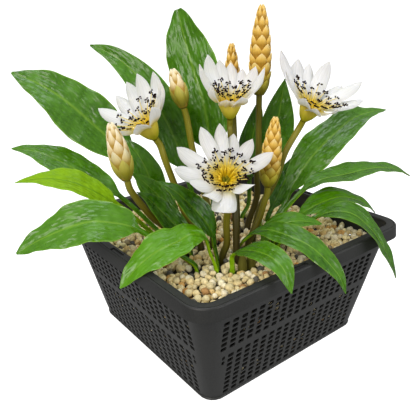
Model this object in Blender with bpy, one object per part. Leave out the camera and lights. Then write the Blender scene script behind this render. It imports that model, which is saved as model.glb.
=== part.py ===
"""Water hawthorn in flower, planted in a square mesh basket of pale clay gravel.

The basket's underside rests on Z = 0 and its centre is the origin.
The front face of the basket looks along -Y, the left one along -X.
Lengths below are in millimetres and become metres where a mesh is made.
"""

import math
from collections import namedtuple

import bmesh
import bpy
from mathutils import Matrix, Vector, noise

MM = 0.001
GAP = 0.3
SHARP_FROM = 40.0

# The basket: rim, walls and floor
RIM_WIDTH = 190.0
BASKET_HEIGHT = 87.0
BASE_WIDTH = 146.0
RIM_TOP_WIDTH = 7.0
RIM_BAND_HEIGHT = 8.5
RIM_FLARE = 1.0
RIM_THICKNESS = 1.5
WALL_THICKNESS = 2.0
WALL_TOP_WIDTH = 181.0
RIM_CORNER = 16.0
WALL_TOP_CORNER = 13.0
BASE_CORNER = 10.0
CORNER_STEPS = 4
SLOT_LENGTH = 15.0
SLOT_WIDTH = 3.2
SLOT_CUT_DEPTH = 4.0

# The wall's mesh: each window stands for three of the real slots, one above another
WINDOW_COLUMNS = 20
WINDOW_PITCH = 7.13
WINDOW_WIDTH = 4.4
WINDOW_DEPTH = 1.0
WINDOW_ROWS = ((3.6, 14.6), (15.9, 26.9), (28.2, 39.2), (44.6, 55.6), (56.9, 67.9))
FULL_COLUMNS_FROM = 44.0
WALL_EDGE_GAP = 0.3

# The gravel bed and the sockets that the stems stand in
GRAVEL_TOP = 74.0
GRAVEL_HIGHEST = 75.3
GRAVEL_CELLS = 54
GRAVEL_EDGE_DROP = 2.5
LUMP_SPACING = 8.0
LUMP_RADIUS = 5.0
LUMP_HEIGHT = 4.2
LUMP_JITTER = 0.35
SOCKET_DEPTH = 11.0
SOCKET_RADIUS = 3.6
SOCKET_SIDES = 6

# The leaves
STEM_FOOT_RADIUS = 2.6
PETIOLE_RADIUS = 1.9
LEAF_THICKNESS = 0.9
LEAF_FOLD = 12.0
PETIOLE_STATIONS = 6
BLADE_STATIONS = 9

# The flower stalks
STALK_RADIUS = 2.5
STALK_SIDES = 8
STALK_STATIONS = 8
HEAD_BEND = 6.0
HEAD_GAP = 0.4

# The open flowers
CUP_LENGTH = 14.0
CUP_ANGLE = 32.0
PETAL_THICKNESS = 1.2

# A leaf stands at base, grows in the upright plane of its heading, and passes through
# path, whose pairs are reach along the heading and height over the gravel.
Leaf = namedtuple("Leaf", "name base heading blade_start width roll belly path")
LEAVES = (
    Leaf("leaf_upper_left", (-24, 22), 135, 0.42, 42, -50, 0.85,
         ((4, 20), (12, 38), (24, 52), (41, 66), (56, 79), (73, 95), (86, 106), (102, 116), (121, 124))),
    Leaf("leaf_curled_back", (-14, 16), 125, 0.32, 30, -60, 0.65,
         ((1, 18), (6, 43), (15, 73), (28, 100), (36, 113), (49, 126), (62, 135), (78, 141))),
    Leaf("leaf_tall_back", (3, 21), 92, 0.38, 46, -60, 0.80,
         ((-4, 22), (-4, 55), (4, 96), (15, 120), (26, 146), (32, 164))),
    Leaf("leaf_back_small", (32, 15), -37, 0.38, 22, 50, 0.90,
         ((5, 11), (6, 42), (8, 66), (11, 82), (14, 99))),
    Leaf("leaf_back_right", (34, -4), -20, 0.42, 27, 70, 0.85,
         ((5, 20), (8, 49), (13, 76), (16, 95), (19, 114))),
    Leaf("leaf_right_big", (28, -22), -10, 0.26, 31, 30, 0.80,
         ((7, 13), (14, 22), (20, 34), (28, 45), (41, 58), (58, 70), (75, 80), (95, 84), (112, 84))),
    Leaf("leaf_right_level", (18, -36), -20, 0.35, 24, 10, 0.80,
         ((5, 19), (14, 30), (23, 38), (36, 44), (57, 46), (83, 48), (102, 45), (116, 38))),
    Leaf("leaf_right_arched", (6, -36), -24, 0.38, 24, 14, 0.85,
         ((14, 10), (32, 23), (45, 29), (61, 32), (75, 28), (85, 22), (91, 16))),
    Leaf("leaf_right_draping", (13, -45), -50, 0.35, 22, 15, 0.80,
         ((9, 13), (28, 27), (39, 31), (50, 30), (62, 21), (70, 11), (78, -3), (84, -17))),
    Leaf("leaf_right_low", (-6, -47), -38, 0.30, 18, 20, 0.85,
         ((5, 20), (20, 26), (33, 26), (42, 24))),
    Leaf("leaf_front_right", (-14, -31), -77, 0.25, 19, 20, 0.85,
         ((12, 17), (24, 24), (43, 24), (58, 21), (70, 14), (79, 6), (84, -4))),
    Leaf("leaf_front_small", (-34, -50), -93, 0.28, 20, 12, 0.85,
         ((0, 11), (13, 20), (35, 25), (48, 22), (56, 9))),
    Leaf("leaf_front_left", (-42, -43), 167, 0.33, 26, -25, 0.85,
         ((4, 14), (8, 26), (18, 30), (26, 27), (39, 24), (49, 19), (59, 11), (66, 4))),
    Leaf("leaf_left_low", (-51, -33), 150, 0.40, 32, -38, 0.80,
         ((10, 11), (20, 20), (30, 27), (42, 35), (52, 38), (65, 40), (77, 38), (89, 34), (101, 29), (114, 22))),
    Leaf("leaf_left_pale", (-51, 1), 145, 0.45, 24, -20, 0.80,
         ((8, 12), (19, 24), (31, 36), (42, 44), (51, 50), (61, 55), (72, 58), (84, 59), (101, 57))),
    Leaf("leaf_left_middle", (-43, 9), 131, 0.40, 27, -25, 0.85,
         ((12, 13), (27, 28), (40, 39), (56, 48), (69, 56), (79, 61), (92, 67), (104, 70), (119, 71))),
    Leaf("leaf_left_inner", (-31, 14), 125, 0.35, 22, -45, 0.85,
         ((10, 10), (17, 25), (21, 40), (25, 53), (32, 66), (43, 77))),
    Leaf("leaf_left_short", (-31, 1), 140, 0.35, 18, -40, 0.85,
         ((11, 18), (19, 34), (29, 46), (41, 57))),
    Leaf("leaf_left_upright", (-41, -13), 150, 0.30, 20, -40, 0.75,
         ((5, 17), (14, 28), (22, 38), (28, 45), (35, 50))),
    Leaf("leaf_centre_left", (-35, -36), 155, 0.33, 20, -45, 0.75,
         ((2, 12), (4, 24), (10, 35), (18, 45), (27, 55), (38, 63))),
    Leaf("leaf_right_inner", (37, -12), 10, 0.30, 18, 40, 0.85,
         ((-2, 7), (10, 21), (21, 33), (32, 43), (42, 54))),
)

# A stalk is placed like a leaf; the head on it goes on along its last stretch unless it nods.
Stalk = namedtuple("Stalk", "name base heading path")
STALKS = (
    Stalk("stalk_tall_bud", (22, -3), -37, ((7, 25), (7, 47), (8, 63), (8, 78), (8, 104))),
    Stalk("stalk_top_flower", (-20, -38), 57, ((1, 12), (4, 31), (14, 53), (24, 77), (30, 92))),
    Stalk("stalk_back_bud", (12, -2), 60, ((2, 20), (5, 40), (8, 59), (11, 75), (14, 92))),
    Stalk("stalk_front_flower", (-27, -31), 143, ((-3, 10), (-3, 25), (-4, 39), (-3, 53))),
    Stalk("stalk_left_flower", (-29, -8), 150, ((12, 32), (16, 47), (20, 60), (23, 70), (28, 83))),
    Stalk("stalk_closed_bud", (-17, -8), 125, ((3, 23), (5, 35), (10, 54), (14, 72), (19, 100))),
    Stalk("stalk_left_bud", (-40, -3), 175, ((12, 19), (23, 30), (30, 40), (35, 48), (40, 61))),
    Stalk("stalk_small_bud", (-3, -31), -30, ((9, 25), (12, 36), (14, 46))),
    Stalk("stalk_right_flower", (6, -26), -20, ((2, 12), (7, 29), (14, 40), (19, 50), (25, 67), (38, 88))),
)

# A flower faces heading and elevation; each petal has its turn about the axis, its opening
# from the axis and its length past the cup.
Flower = namedtuple("Flower", "name stalk heading elevation petals")
FLOWERS = (
    Flower("flower_front", "stalk_front_flower", -128, 46,
           ((25, 78, 27), (58, 95, 28), (80, 98, 29), (95, 80, 31), (115, 76, 31), (150, 74, 30),
            (180, 64, 28), (215, 42, 29), (242, 45, 26), (265, 58, 30), (305, 34, 30))),
    Flower("flower_left", "stalk_left_flower", 175, 58,
           ((10, 45, 32), (50, 38, 24), (88, 45, 24), (120, 58, 33), (138, 52, 34), (155, 60, 36),
            (172, 65, 34), (195, 65, 36), (235, 60, 26), (330, 46, 30))),
    Flower("flower_top", "stalk_top_flower", -127, 78,
           ((12, 37, 27), (48, 50, 27), (70, 60, 27), (86, 55, 30), (101, 50, 31), (117, 44, 34),
            (160, 30, 30), (210, 28, 30), (255, 42, 31), (275, 46, 30), (296, 44, 34), (335, 36, 30))),
    Flower("flower_right", "stalk_right_flower", -75, 62,
           ((0, 70, 33), (25, 55, 38), (42, 68, 37), (57, 65, 36), (85, 60, 39), (135, 50, 28),
            (185, 62, 33), (210, 65, 34), (265, 45, 30), (325, 65, 33), (342, 55, 38))),
)

# A bud spike leans along heading and elevation; rows of scales wrap it.
Spike = namedtuple("Spike", "name stalk heading elevation length radius rows")
SPIKES = (
    Spike("bud_tall", "stalk_tall_bud", -37, 89, 61.0, 7.8, 9),
    Spike("bud_back", "stalk_back_bud", 90, 88, 48.0, 6.0, 8),
    Spike("bud_small", "stalk_small_bud", -37, 85, 49.0, 7.2, 9),
    Spike("bud_left", "stalk_left_bud", 160, 79, 38.5, 8.6, 7),
)
SPIKE_SIDES = 9
SCALE_LUMP = 0.13
CLOSED_BUD_LENGTH = 27.0
CLOSED_BUD_RADIUS = 6.4
CLOSED_BUD_SIDES = 10
CLOSED_BUD_LEAN = (143, 76)

# Short sheaths at the foot of the clump: place, heading, height and width
Sheath = namedtuple("Sheath", "name base heading height width")
SHEATHS = (
    Sheath("sheath_front", (-25, -50), -127, 13.0, 6.0),
    Sheath("sheath_front_right", (-17, -50), -127, 15.0, 6.0),
)

LEAF_GREEN = (0.075, 0.22, 0.012, 1.0)
STALK_OLIVE = (0.17, 0.16, 0.015, 1.0)
PETAL_WHITE = (0.88, 0.87, 0.84, 1.0)
BUD_YELLOW = (0.75, 0.50, 0.16, 1.0)
SHEATH_GREEN = (0.24, 0.27, 0.03, 1.0)
GRAVEL_CREAM = (0.72, 0.60, 0.38, 1.0)
BASKET_BLACK = (0.035, 0.035, 0.033, 1.0)


def clear_scene():
    for obj in list(bpy.data.objects):
        bpy.data.objects.remove(obj, do_unlink=True)


def material(name, color, roughness):
    """A plain surface of one colour."""
    mat = bpy.data.materials.get(name) or bpy.data.materials.new(name)
    mat.use_nodes = True
    shader = mat.node_tree.nodes["Principled BSDF"]
    shader.inputs["Base Color"].default_value = color
    shader.inputs["Roughness"].default_value = roughness
    shader.inputs["Metallic"].default_value = 0.0
    mat.diffuse_color = color
    return mat


def finished(name, bm, origin, mat):
    """An object with its origin at a point, from a closed set of faces."""
    bmesh.ops.triangulate(bm, faces=bm.faces[:])
    bmesh.ops.recalc_face_normals(bm, faces=bm.faces[:])
    mesh = bpy.data.meshes.new(name)
    bm.to_mesh(mesh)
    bm.free()
    mesh.materials.append(mat)
    mesh.shade_smooth()
    mesh.set_sharp_from_angle(angle=math.radians(SHARP_FROM))
    obj = bpy.data.objects.new(name, mesh)
    obj.location = origin * MM
    bpy.context.collection.objects.link(obj)
    return obj


def loft(name, rings, mat):
    """One closed solid through rings of equal length, capped at both ends, with its origin in the first."""
    bm = bmesh.new()
    foot = sum(rings[0], Vector()) / len(rings[0])
    rows = [[bm.verts.new((point - foot) * MM) for point in ring] for ring in rings]
    count = len(rings[0])
    for lower, upper in zip(rows, rows[1:]):
        for i in range(count):
            j = (i + 1) % count
            bm.faces.new((lower[i], lower[j], upper[j], upper[i]))
    bm.faces.new(tuple(reversed(rows[0])))
    bm.faces.new(rows[-1])
    return finished(name, bm, foot, mat)


def unit(heading, elevation=0.0):
    """The direction of a compass heading from +X and an elevation, in degrees."""
    a, e = math.radians(heading), math.radians(elevation)
    return Vector((math.cos(a) * math.cos(e), math.sin(a) * math.cos(e), math.sin(e)))


def smooth_path(points, count):
    """A centripetal spline through points, sampled at count even steps."""
    points = [points[0] * 2 - points[1]] + points + [points[-1] * 2 - points[-2]]
    dense = []
    for p0, p1, p2, p3 in zip(points, points[1:], points[2:], points[3:]):
        t1 = (p1 - p0).length ** 0.5
        t2 = t1 + (p2 - p1).length ** 0.5
        t3 = t2 + (p3 - p2).length ** 0.5
        for step in range(12):
            t = t1 + (t2 - t1) * step / 12
            a1 = p0.lerp(p1, t / t1)
            a2 = p1.lerp(p2, (t - t1) / (t2 - t1))
            a3 = p2.lerp(p3, (t - t2) / (t3 - t2))
            b1 = a1.lerp(a2, t / t2)
            b2 = a2.lerp(a3, (t - t1) / (t3 - t1))
            dense.append(b1.lerp(b2, (t - t1) / (t2 - t1)))
    dense.append(points[-2])
    lengths = [0.0]
    for a, b in zip(dense, dense[1:]):
        lengths.append(lengths[-1] + (b - a).length)
    samples = []
    k = 0
    for i in range(count):
        goal = lengths[-1] * i / (count - 1)
        while k < len(dense) - 2 and lengths[k + 1] < goal:
            k += 1
        share = (goal - lengths[k]) / max(lengths[k + 1] - lengths[k], 1e-9)
        samples.append(dense[k].lerp(dense[k + 1], share))
    return samples


def stem_line(base, heading, path, count, end=()):
    """Points from a stem's foot in its socket up through its path and then its end."""
    foot = Vector((base[0], base[1], GRAVEL_TOP))
    points = [foot + Vector((0, 0, GAP - SOCKET_DEPTH)), foot + Vector((0, 0, 1.5))]
    for reach, height in path:
        points.append(foot + unit(heading) * reach + Vector((0, 0, height)))
    return smooth_path(points + list(end), count)


def tangents(line):
    """The direction of a line at each of its points."""
    ends = [line[0] * 2 - line[1]] + line + [line[-1] * 2 - line[-2]]
    return [(b - a).normalized() for a, b in zip(ends, ends[2:])]


def blade_width(share, belly):
    """How wide a blade is at a share of its length; a small belly moves the widest part to its foot."""
    return math.sin(math.pi * share ** belly)


def leaf_section(radius, half_width, flat):
    """A section from a round petiole (flat 0) to a folded blade (flat 1)."""
    lift = half_width * math.tan(math.radians(LEAF_FOLD))
    skin = LEAF_THICKNESS * 0.5
    stem = ((-1, 0), (0, 0.85), (1, 0), (0.55, -0.8), (0, -1), (-0.55, -0.8))
    blade = ((-half_width, lift), (0, skin), (half_width, lift),
             (half_width * 0.5, lift * 0.5 - skin), (0, -skin * 1.6), (-half_width * 0.5, lift * 0.5 - skin))
    return [(s[0] * radius * (1 - flat) + b[0] * flat, s[1] * radius * (1 - flat) + b[1] * flat)
            for s, b in zip(stem, blade)]


def make_leaf(leaf, mat):
    """A petiole that widens into a pointed blade, folded a little along its midrib."""
    stations = PETIOLE_STATIONS + BLADE_STATIONS
    line = stem_line(leaf.base, leaf.heading, leaf.path, 60)
    along = [leaf.blade_start * i / PETIOLE_STATIONS for i in range(PETIOLE_STATIONS)]
    along += [leaf.blade_start + (1 - leaf.blade_start) * i / (BLADE_STATIONS - 1)
              for i in range(BLADE_STATIONS)]
    directions = tangents(line)
    side_flat = unit(leaf.heading + 90)
    rings = []
    for k in range(stations):
        place = along[k] * (len(line) - 1)
        low = min(int(place), len(line) - 2)
        point = line[low].lerp(line[low + 1], place - low)
        ahead = directions[low].lerp(directions[low + 1], place - low).normalized()
        blade = max(0.0, (along[k] - leaf.blade_start) / (1 - leaf.blade_start))
        roll = leaf.roll * min(1.0, along[k] / leaf.blade_start)
        turn = Matrix.Rotation(math.radians(roll), 3, ahead)
        side = turn @ side_flat
        face = ahead.cross(side)
        radius = PETIOLE_RADIUS + (STEM_FOOT_RADIUS - PETIOLE_RADIUS) * max(0.0, 1 - along[k] / 0.15)
        half = max(leaf.width * 0.5 * blade_width(min(blade, 0.985), leaf.belly), 0.4)
        flat = min(1.0, blade / 0.12)
        section = leaf_section(radius, max(half, radius * (1 - flat)), flat)
        rings.append([point + side * x + face * y for x, y in section])
    return loft(leaf.name, rings, mat)


def make_stalk(stalk, head_axis, mat):
    """A round flower stalk from its socket up to its head, bent at its end to the head's axis."""
    top = Vector((stalk.base[0], stalk.base[1], GRAVEL_TOP))
    top += unit(stalk.heading) * stalk.path[-1][0] + Vector((0, 0, stalk.path[-1][1]))
    line = stem_line(stalk.base, stalk.heading, stalk.path[:-1], STALK_STATIONS, [top - head_axis * HEAD_BEND, top])
    directions = tangents(line)
    directions[-1] = head_axis
    rings = []
    for k in range(STALK_STATIONS):
        side = (unit(stalk.heading + 90) - directions[k] * directions[k].dot(unit(stalk.heading + 90))).normalized()
        face = directions[k].cross(side)
        radius = STALK_RADIUS if k else STEM_FOOT_RADIUS
        rings.append([line[k] + (side * math.cos(a) + face * math.sin(a)) * radius
                      for a in (math.tau * i / STALK_SIDES for i in range(STALK_SIDES))])
    loft(stalk.name, rings, mat)
    return top + head_axis * HEAD_GAP


def axis_frame(heading, elevation):
    """A head's axis and the two directions across it."""
    axis = unit(heading, elevation)
    across = unit(heading + 90)
    return axis, across, axis.cross(across)


def make_flower(flower, seat, mat):
    """A cup whose rim runs out into petals, as one solid that reaches every petal tip."""
    axis, across, third = axis_frame(flower.heading, flower.elevation)

    def out(turn):
        a = math.radians(turn)
        return across * math.cos(a) + third * math.sin(a)

    def point(turn, height, radius):
        return seat + axis * height + out(turn) * radius

    mouth_height = CUP_LENGTH * math.cos(math.radians(CUP_ANGLE))
    mouth_radius = CUP_LENGTH * math.sin(math.radians(CUP_ANGLE))
    turns, reaches = [], []
    petals = flower.petals
    for (turn, opening, length), (turn_b, opening_b, length_b) in zip(petals, petals[1:] + petals[:1]):
        turns += [turn, turn + ((turn_b - turn) % 360) / 2]
        between = math.radians((opening + opening_b) / 2)
        apart = (turn_b - turn) % 360
        notch = min(length, length_b) * max(0.25, 0.8 - apart / 100)
        reaches.append((mouth_height + length * math.cos(math.radians(opening)),
                        mouth_radius + length * math.sin(math.radians(opening))))
        reaches.append((mouth_height + notch * math.cos(between), mouth_radius + notch * math.sin(between)))
    skin = PETAL_THICKNESS / 2
    rings = [
        [point(t, 0.0, STALK_RADIUS * 0.9) for t in turns],
        [point(t, 3.0, 4.6) for t in turns],
        [point(t, mouth_height - skin, mouth_radius + skin) for t in turns],
        [point(t, h - skin, r) for t, (h, r) in zip(turns, reaches)],
        [point(t, h + skin, r) for t, (h, r) in zip(turns, reaches)],
        [point(t, mouth_height + skin, mouth_radius - skin) for t in turns],
        [point(t, 5.0, 3.0) for t in turns],
    ]
    return loft(flower.name, rings, mat)


def make_spike(spike, seat, mat):
    """A bud spike: a tapering body ringed by rows of overlapping scales."""
    axis, across, third = axis_frame(spike.heading, spike.elevation)
    rings = [[seat + (across * math.cos(a) + third * math.sin(a)) * STALK_RADIUS * 0.9
              for a in (math.tau * i / SPIKE_SIDES for i in range(SPIKE_SIDES))]]
    for row in range(spike.rows * 2):
        share = (row + 0.6) / (spike.rows * 2)
        body = spike.radius * math.sin(math.pi * (0.14 + 0.82 * share ** 0.8)) ** 0.75
        lip = 1.0 + SCALE_LUMP * (0.35 if row % 2 else -0.65)
        turn = math.pi / 3 * (row // 2)
        rings.append([seat + axis * spike.length * share
                      + (across * math.cos(a) + third * math.sin(a))
                      * body * lip * (1 + SCALE_LUMP * 0.6 * math.cos(3 * (a + turn)))
                      for a in (math.tau * i / SPIKE_SIDES for i in range(SPIKE_SIDES))])
    tip = seat + axis * spike.length
    rings.append([tip + (across * math.cos(a) + third * math.sin(a)) * 0.5
                  for a in (math.tau * i / SPIKE_SIDES for i in range(SPIKE_SIDES))])
    return loft(spike.name, rings, mat)


def make_closed_bud(seat, mat):
    """A flower bud still shut, pointed at the top."""
    axis, across, third = axis_frame(*CLOSED_BUD_LEAN)
    profile = ((0.0, 0.38), (0.12, 0.72), (0.3, 0.96), (0.5, 1.0), (0.7, 0.82), (0.86, 0.5), (1.0, 0.08))
    rings = [[seat + axis * CLOSED_BUD_LENGTH * height
              + (across * math.cos(a) + third * math.sin(a)) * CLOSED_BUD_RADIUS * width
              for a in (math.tau * i / CLOSED_BUD_SIDES for i in range(CLOSED_BUD_SIDES))]
             for height, width in profile]
    return loft("bud_closed", rings, mat)


def make_sheath(sheath, mat):
    """A short curved leaf sheath that wraps the foot of the clump."""
    rings = []
    for share, width in ((0.0, 0.8), (0.25, 1.0), (0.6, 0.75), (0.85, 0.4), (1.0, 0.1)):
        centre = Vector((sheath.base[0], sheath.base[1], GRAVEL_TOP + GAP - SOCKET_DEPTH
                         + (SOCKET_DEPTH + sheath.height) * share))
        side = unit(sheath.heading + 90) * sheath.width * 0.5 * width
        face = unit(sheath.heading) * (1.3 * width + 0.3)
        rings.append([centre - side, centre - side * 0.5 + face, centre + side * 0.5 + face,
                      centre + side, centre + side * 0.4 - face * 0.6, centre - side * 0.4 - face * 0.6])
    return loft(sheath.name, rings, mat)


def square_ring(half, corner, z, steps=CORNER_STEPS):
    """A square with rounded corners, as points going round at height z."""
    points = []
    for quarter, (sx, sy) in enumerate(((1, 1), (-1, 1), (-1, -1), (1, -1))):
        for i in range(steps + 1):
            a = math.pi / 2 * (quarter + i / steps)
            points.append(Vector((sx * (half - corner) + corner * math.cos(a),
                                  sy * (half - corner) + corner * math.sin(a), z)))
    return points


def wall_half(z):
    """Half the outer width of the wall at height z."""
    under_rim = BASKET_HEIGHT - RIM_THICKNESS
    return (BASE_WIDTH + (WALL_TOP_WIDTH - BASE_WIDTH) * z / under_rim) / 2


def box(name, centre, size):
    """A plain box, used only to cut."""
    bpy.ops.mesh.primitive_cube_add(size=1)
    obj = bpy.context.object
    obj.name = name
    obj.data.transform(Matrix.Diagonal((size[0] * MM, size[1] * MM, size[2] * MM, 1.0)))
    obj.location = Vector(centre) * MM
    obj.hide_render = True
    obj.display_type = "WIRE"
    return obj


def cut(target, cutter):
    """Take one solid out of another."""
    mod = target.modifiers.new(cutter.name, "BOOLEAN")
    mod.operation = "DIFFERENCE"
    mod.solver = "EXACT"
    mod.object = cutter


def wall_corner(z):
    """The corner radius of the wall's outside at height z."""
    return BASE_CORNER + (WALL_TOP_CORNER - BASE_CORNER) * z / (BASKET_HEIGHT - RIM_THICKNESS)


def on_side(x, out, z, quarter):
    """A point of the front side, x along it and out from the middle, carried round to another side."""
    turn = Matrix.Rotation(math.pi / 2 * quarter, 3, "Z")
    return turn @ Vector((x, -out, z))


def wall_lines(z):
    """Where the upright edges of the windows cross height z, between the ends of a side's flat."""
    flat = wall_half(z) - wall_corner(z)
    edges = []
    for column in range(WINDOW_COLUMNS):
        middle = (column - (WINDOW_COLUMNS - 1) / 2) * WINDOW_PITCH
        edges += [middle - WINDOW_WIDTH / 2, middle + WINDOW_WIDTH / 2]
    count = len(edges)
    kept = [min(max(x, WALL_EDGE_GAP * (i + 1) - flat), flat - WALL_EDGE_GAP * (count - i))
            for i, x in enumerate(edges)]
    return [-flat] + kept + [flat]


def wall_ring(z):
    """The wall's outside at height z, side by side with the corner after each."""
    half, corner = wall_half(z), wall_corner(z)
    flat = half - corner
    points = []
    for quarter in range(4):
        points += [on_side(x, half, z, quarter) for x in wall_lines(z)]
        for i in range(1, CORNER_STEPS):
            a = math.pi / 2 * i / CORNER_STEPS
            points.append(on_side(flat + corner * math.sin(a), flat + corner * math.cos(a), z, quarter))
    return points


def make_basket(mat):
    """A tapered basket with a turned-down rim band, windowed walls and a slot in each side of the rim."""
    rim = RIM_WIDTH / 2
    top = BASKET_HEIGHT
    under = top - RIM_THICKNESS
    band = top - RIM_BAND_HEIGHT
    inner = rim - RIM_TOP_WIDTH
    floor = WALL_THICKNESS
    bm = bmesh.new()

    def verts(points):
        return [bm.verts.new(point * MM) for point in points]

    def join(lower, upper):
        count = len(lower)
        for i in range(count):
            j = (i + 1) % count
            bm.faces.new((lower[i], lower[j], upper[j], upper[i]))

    # the windowed outside of the walls
    heights = [0.0] + [z for row in WINDOW_ROWS for z in row] + [under]
    levels = [verts(wall_ring(z)) for z in heights]
    side_count = 2 * WINDOW_COLUMNS + 2
    per_quarter = side_count + CORNER_STEPS - 1
    for band_number, (lower, upper) in enumerate(zip(levels, levels[1:])):
        z_low, z_high = heights[band_number], heights[band_number + 1]
        for i in range(len(lower)):
            j = (i + 1) % len(lower)
            quarter, place = divmod(i, per_quarter)
            column = (place - 1) // 2
            windowed = ((z_low, z_high) in WINDOW_ROWS and place % 2 == 1 and place < side_count - 1
                        and (z_low > FULL_COLUMNS_FROM or 0 < column < WINDOW_COLUMNS - 1))
            corners = (lower[i], lower[j], upper[j], upper[i])
            if not windowed:
                bm.faces.new(corners)
                continue
            inward = on_side(0.0, -WINDOW_DEPTH * MM, 0.0, quarter)
            sunk = [bm.verts.new(corner.co + inward) for corner in corners]
            bm.faces.new(sunk)
            for k in range(4):
                m = (k + 1) % 4
                bm.faces.new((corners[k], corners[m], sunk[m], sunk[k]))
    bm.faces.new(levels[0])

    # the rim and the inside
    rings = [verts(ring) for ring in (
        square_ring(rim - RIM_THICKNESS, RIM_CORNER - RIM_THICKNESS, under),
        square_ring(rim + RIM_FLARE - RIM_THICKNESS, RIM_CORNER - RIM_THICKNESS, band),
        square_ring(rim + RIM_FLARE, RIM_CORNER, band),
        square_ring(rim, RIM_CORNER, top),
        square_ring(inner, RIM_CORNER - RIM_TOP_WIDTH, top),
        square_ring(wall_half(floor) - WALL_THICKNESS, BASE_CORNER - WALL_THICKNESS, floor))]
    for lower, upper in zip(rings, rings[1:]):
        join(lower, upper)
    bm.faces.new(rings[-1])

    # the underside of the rim, from the walls out to the band
    wall_top, rim_under = levels[-1], rings[0]
    corner_count = CORNER_STEPS + 1
    for quarter in range(4):
        start = quarter * per_quarter
        before = ((quarter + 2) % 4) * corner_count
        after = ((quarter + 3) % 4) * corner_count
        side = wall_top[start:start + side_count]
        bm.faces.new(side + [rim_under[after], rim_under[before + CORNER_STEPS]])
        for i in range(CORNER_STEPS):
            a = start + side_count - 1 + i
            bm.faces.new((wall_top[a], wall_top[(a + 1) % len(wall_top)],
                          rim_under[after + i + 1], rim_under[after + i]))
    basket = finished("basket", bm, Vector(), mat)
    middle = rim - RIM_TOP_WIDTH / 2
    for i, (x, y) in enumerate(((-15, -middle), (middle, 0), (0, middle), (-middle, 1.5))):
        along_x = abs(y) > abs(x)
        size = ((SLOT_LENGTH, SLOT_WIDTH, SLOT_CUT_DEPTH) if along_x
                else (SLOT_WIDTH, SLOT_LENGTH, SLOT_CUT_DEPTH))
        cut(basket, box("slot_cutter_%d" % i, (x, y, top), size))
    return basket


def gravel_height(x, y):
    """The lumpy level of the gravel bed: rounded heaps of pellets, each a little off its grid."""
    nearest = 1.0
    column, row = math.floor(x / LUMP_SPACING), math.floor(y / LUMP_SPACING)
    for i in range(column - 1, column + 2):
        for j in range(row - 1, row + 2):
            away = noise.noise_vector(Vector((i * 1.7 + 0.3, j * 1.3 + 0.7, 2.1)))
            u = (i + 0.5 + LUMP_JITTER * away.x) * LUMP_SPACING
            v = (j + 0.5 + LUMP_JITTER * away.y) * LUMP_SPACING
            nearest = min(nearest, math.hypot(x - u, y - v) / LUMP_RADIUS)
    return GRAVEL_HIGHEST - LUMP_HEIGHT * (1 - math.sqrt(max(0.0, 1 - nearest * nearest)))


def make_gravel(mat):
    """The bed of clay gravel that fills the basket, with a socket for every stem."""
    clear = WALL_THICKNESS + GAP
    inner_top = RIM_WIDTH / 2 - RIM_TOP_WIDTH
    inner_floor = wall_half(WALL_THICKNESS) - WALL_THICKNESS
    corner = BASE_CORNER - WALL_THICKNESS
    edge = GRAVEL_TOP - GRAVEL_EDGE_DROP

    def half_at(z):
        share = (z - WALL_THICKNESS) / (BASKET_HEIGHT - WALL_THICKNESS)
        return inner_floor + (inner_top - inner_floor) * share - GAP * 1.5

    def rounded(i, j, half):
        """A point of the square grid, with the grid's corners drawn in to the basket's round ones."""
        x, y = (2 * i / GRAVEL_CELLS - 1) * half, (2 * j / GRAVEL_CELLS - 1) * half
        over_x, over_y = abs(x) - (half - corner), abs(y) - (half - corner)
        if over_x > 0 and over_y > 0:
            shrink = max(over_x, over_y) / math.hypot(over_x, over_y)
            x = math.copysign(half - corner + over_x * shrink, x)
            y = math.copysign(half - corner + over_y * shrink, y)
        return x, y

    bm = bmesh.new()
    top = {}
    for i in range(GRAVEL_CELLS + 1):
        for j in range(GRAVEL_CELLS + 1):
            x, y = rounded(i, j, half_at(edge))
            on_edge = i in (0, GRAVEL_CELLS) or j in (0, GRAVEL_CELLS)
            top[i, j] = bm.verts.new(Vector((x, y, edge if on_edge else gravel_height(x, y))) * MM)
    for i in range(GRAVEL_CELLS):
        for j in range(GRAVEL_CELLS):
            bm.faces.new((top[i, j], top[i + 1, j], top[i + 1, j + 1], top[i, j + 1]))
    n = GRAVEL_CELLS
    border = ([(i, 0) for i in range(n)] + [(n, j) for j in range(n)]
              + [(n - i, n) for i in range(n)] + [(0, n - j) for j in range(n)])
    foot = []
    for i, j in border:
        x, y = rounded(i, j, half_at(clear))
        foot.append(bm.verts.new(Vector((x, y, clear)) * MM))
    for k in range(len(border)):
        m = (k + 1) % len(border)
        bm.faces.new((foot[k], foot[m], top[border[m]], top[border[k]]))
    bm.faces.new(foot)
    gravel = finished("gravel", bm, Vector(), mat)
    for item in LEAVES + STALKS + SHEATHS:
        bpy.ops.mesh.primitive_cylinder_add(vertices=SOCKET_SIDES, radius=SOCKET_RADIUS * MM,
                                            depth=2 * SOCKET_DEPTH * MM)
        socket = bpy.context.object
        socket.name = "socket_cutter_" + item.name
        socket.location = Vector((item.base[0], item.base[1], GRAVEL_TOP)) * MM
        socket.hide_render = True
        socket.display_type = "WIRE"
        cut(gravel, socket)
    return gravel


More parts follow.
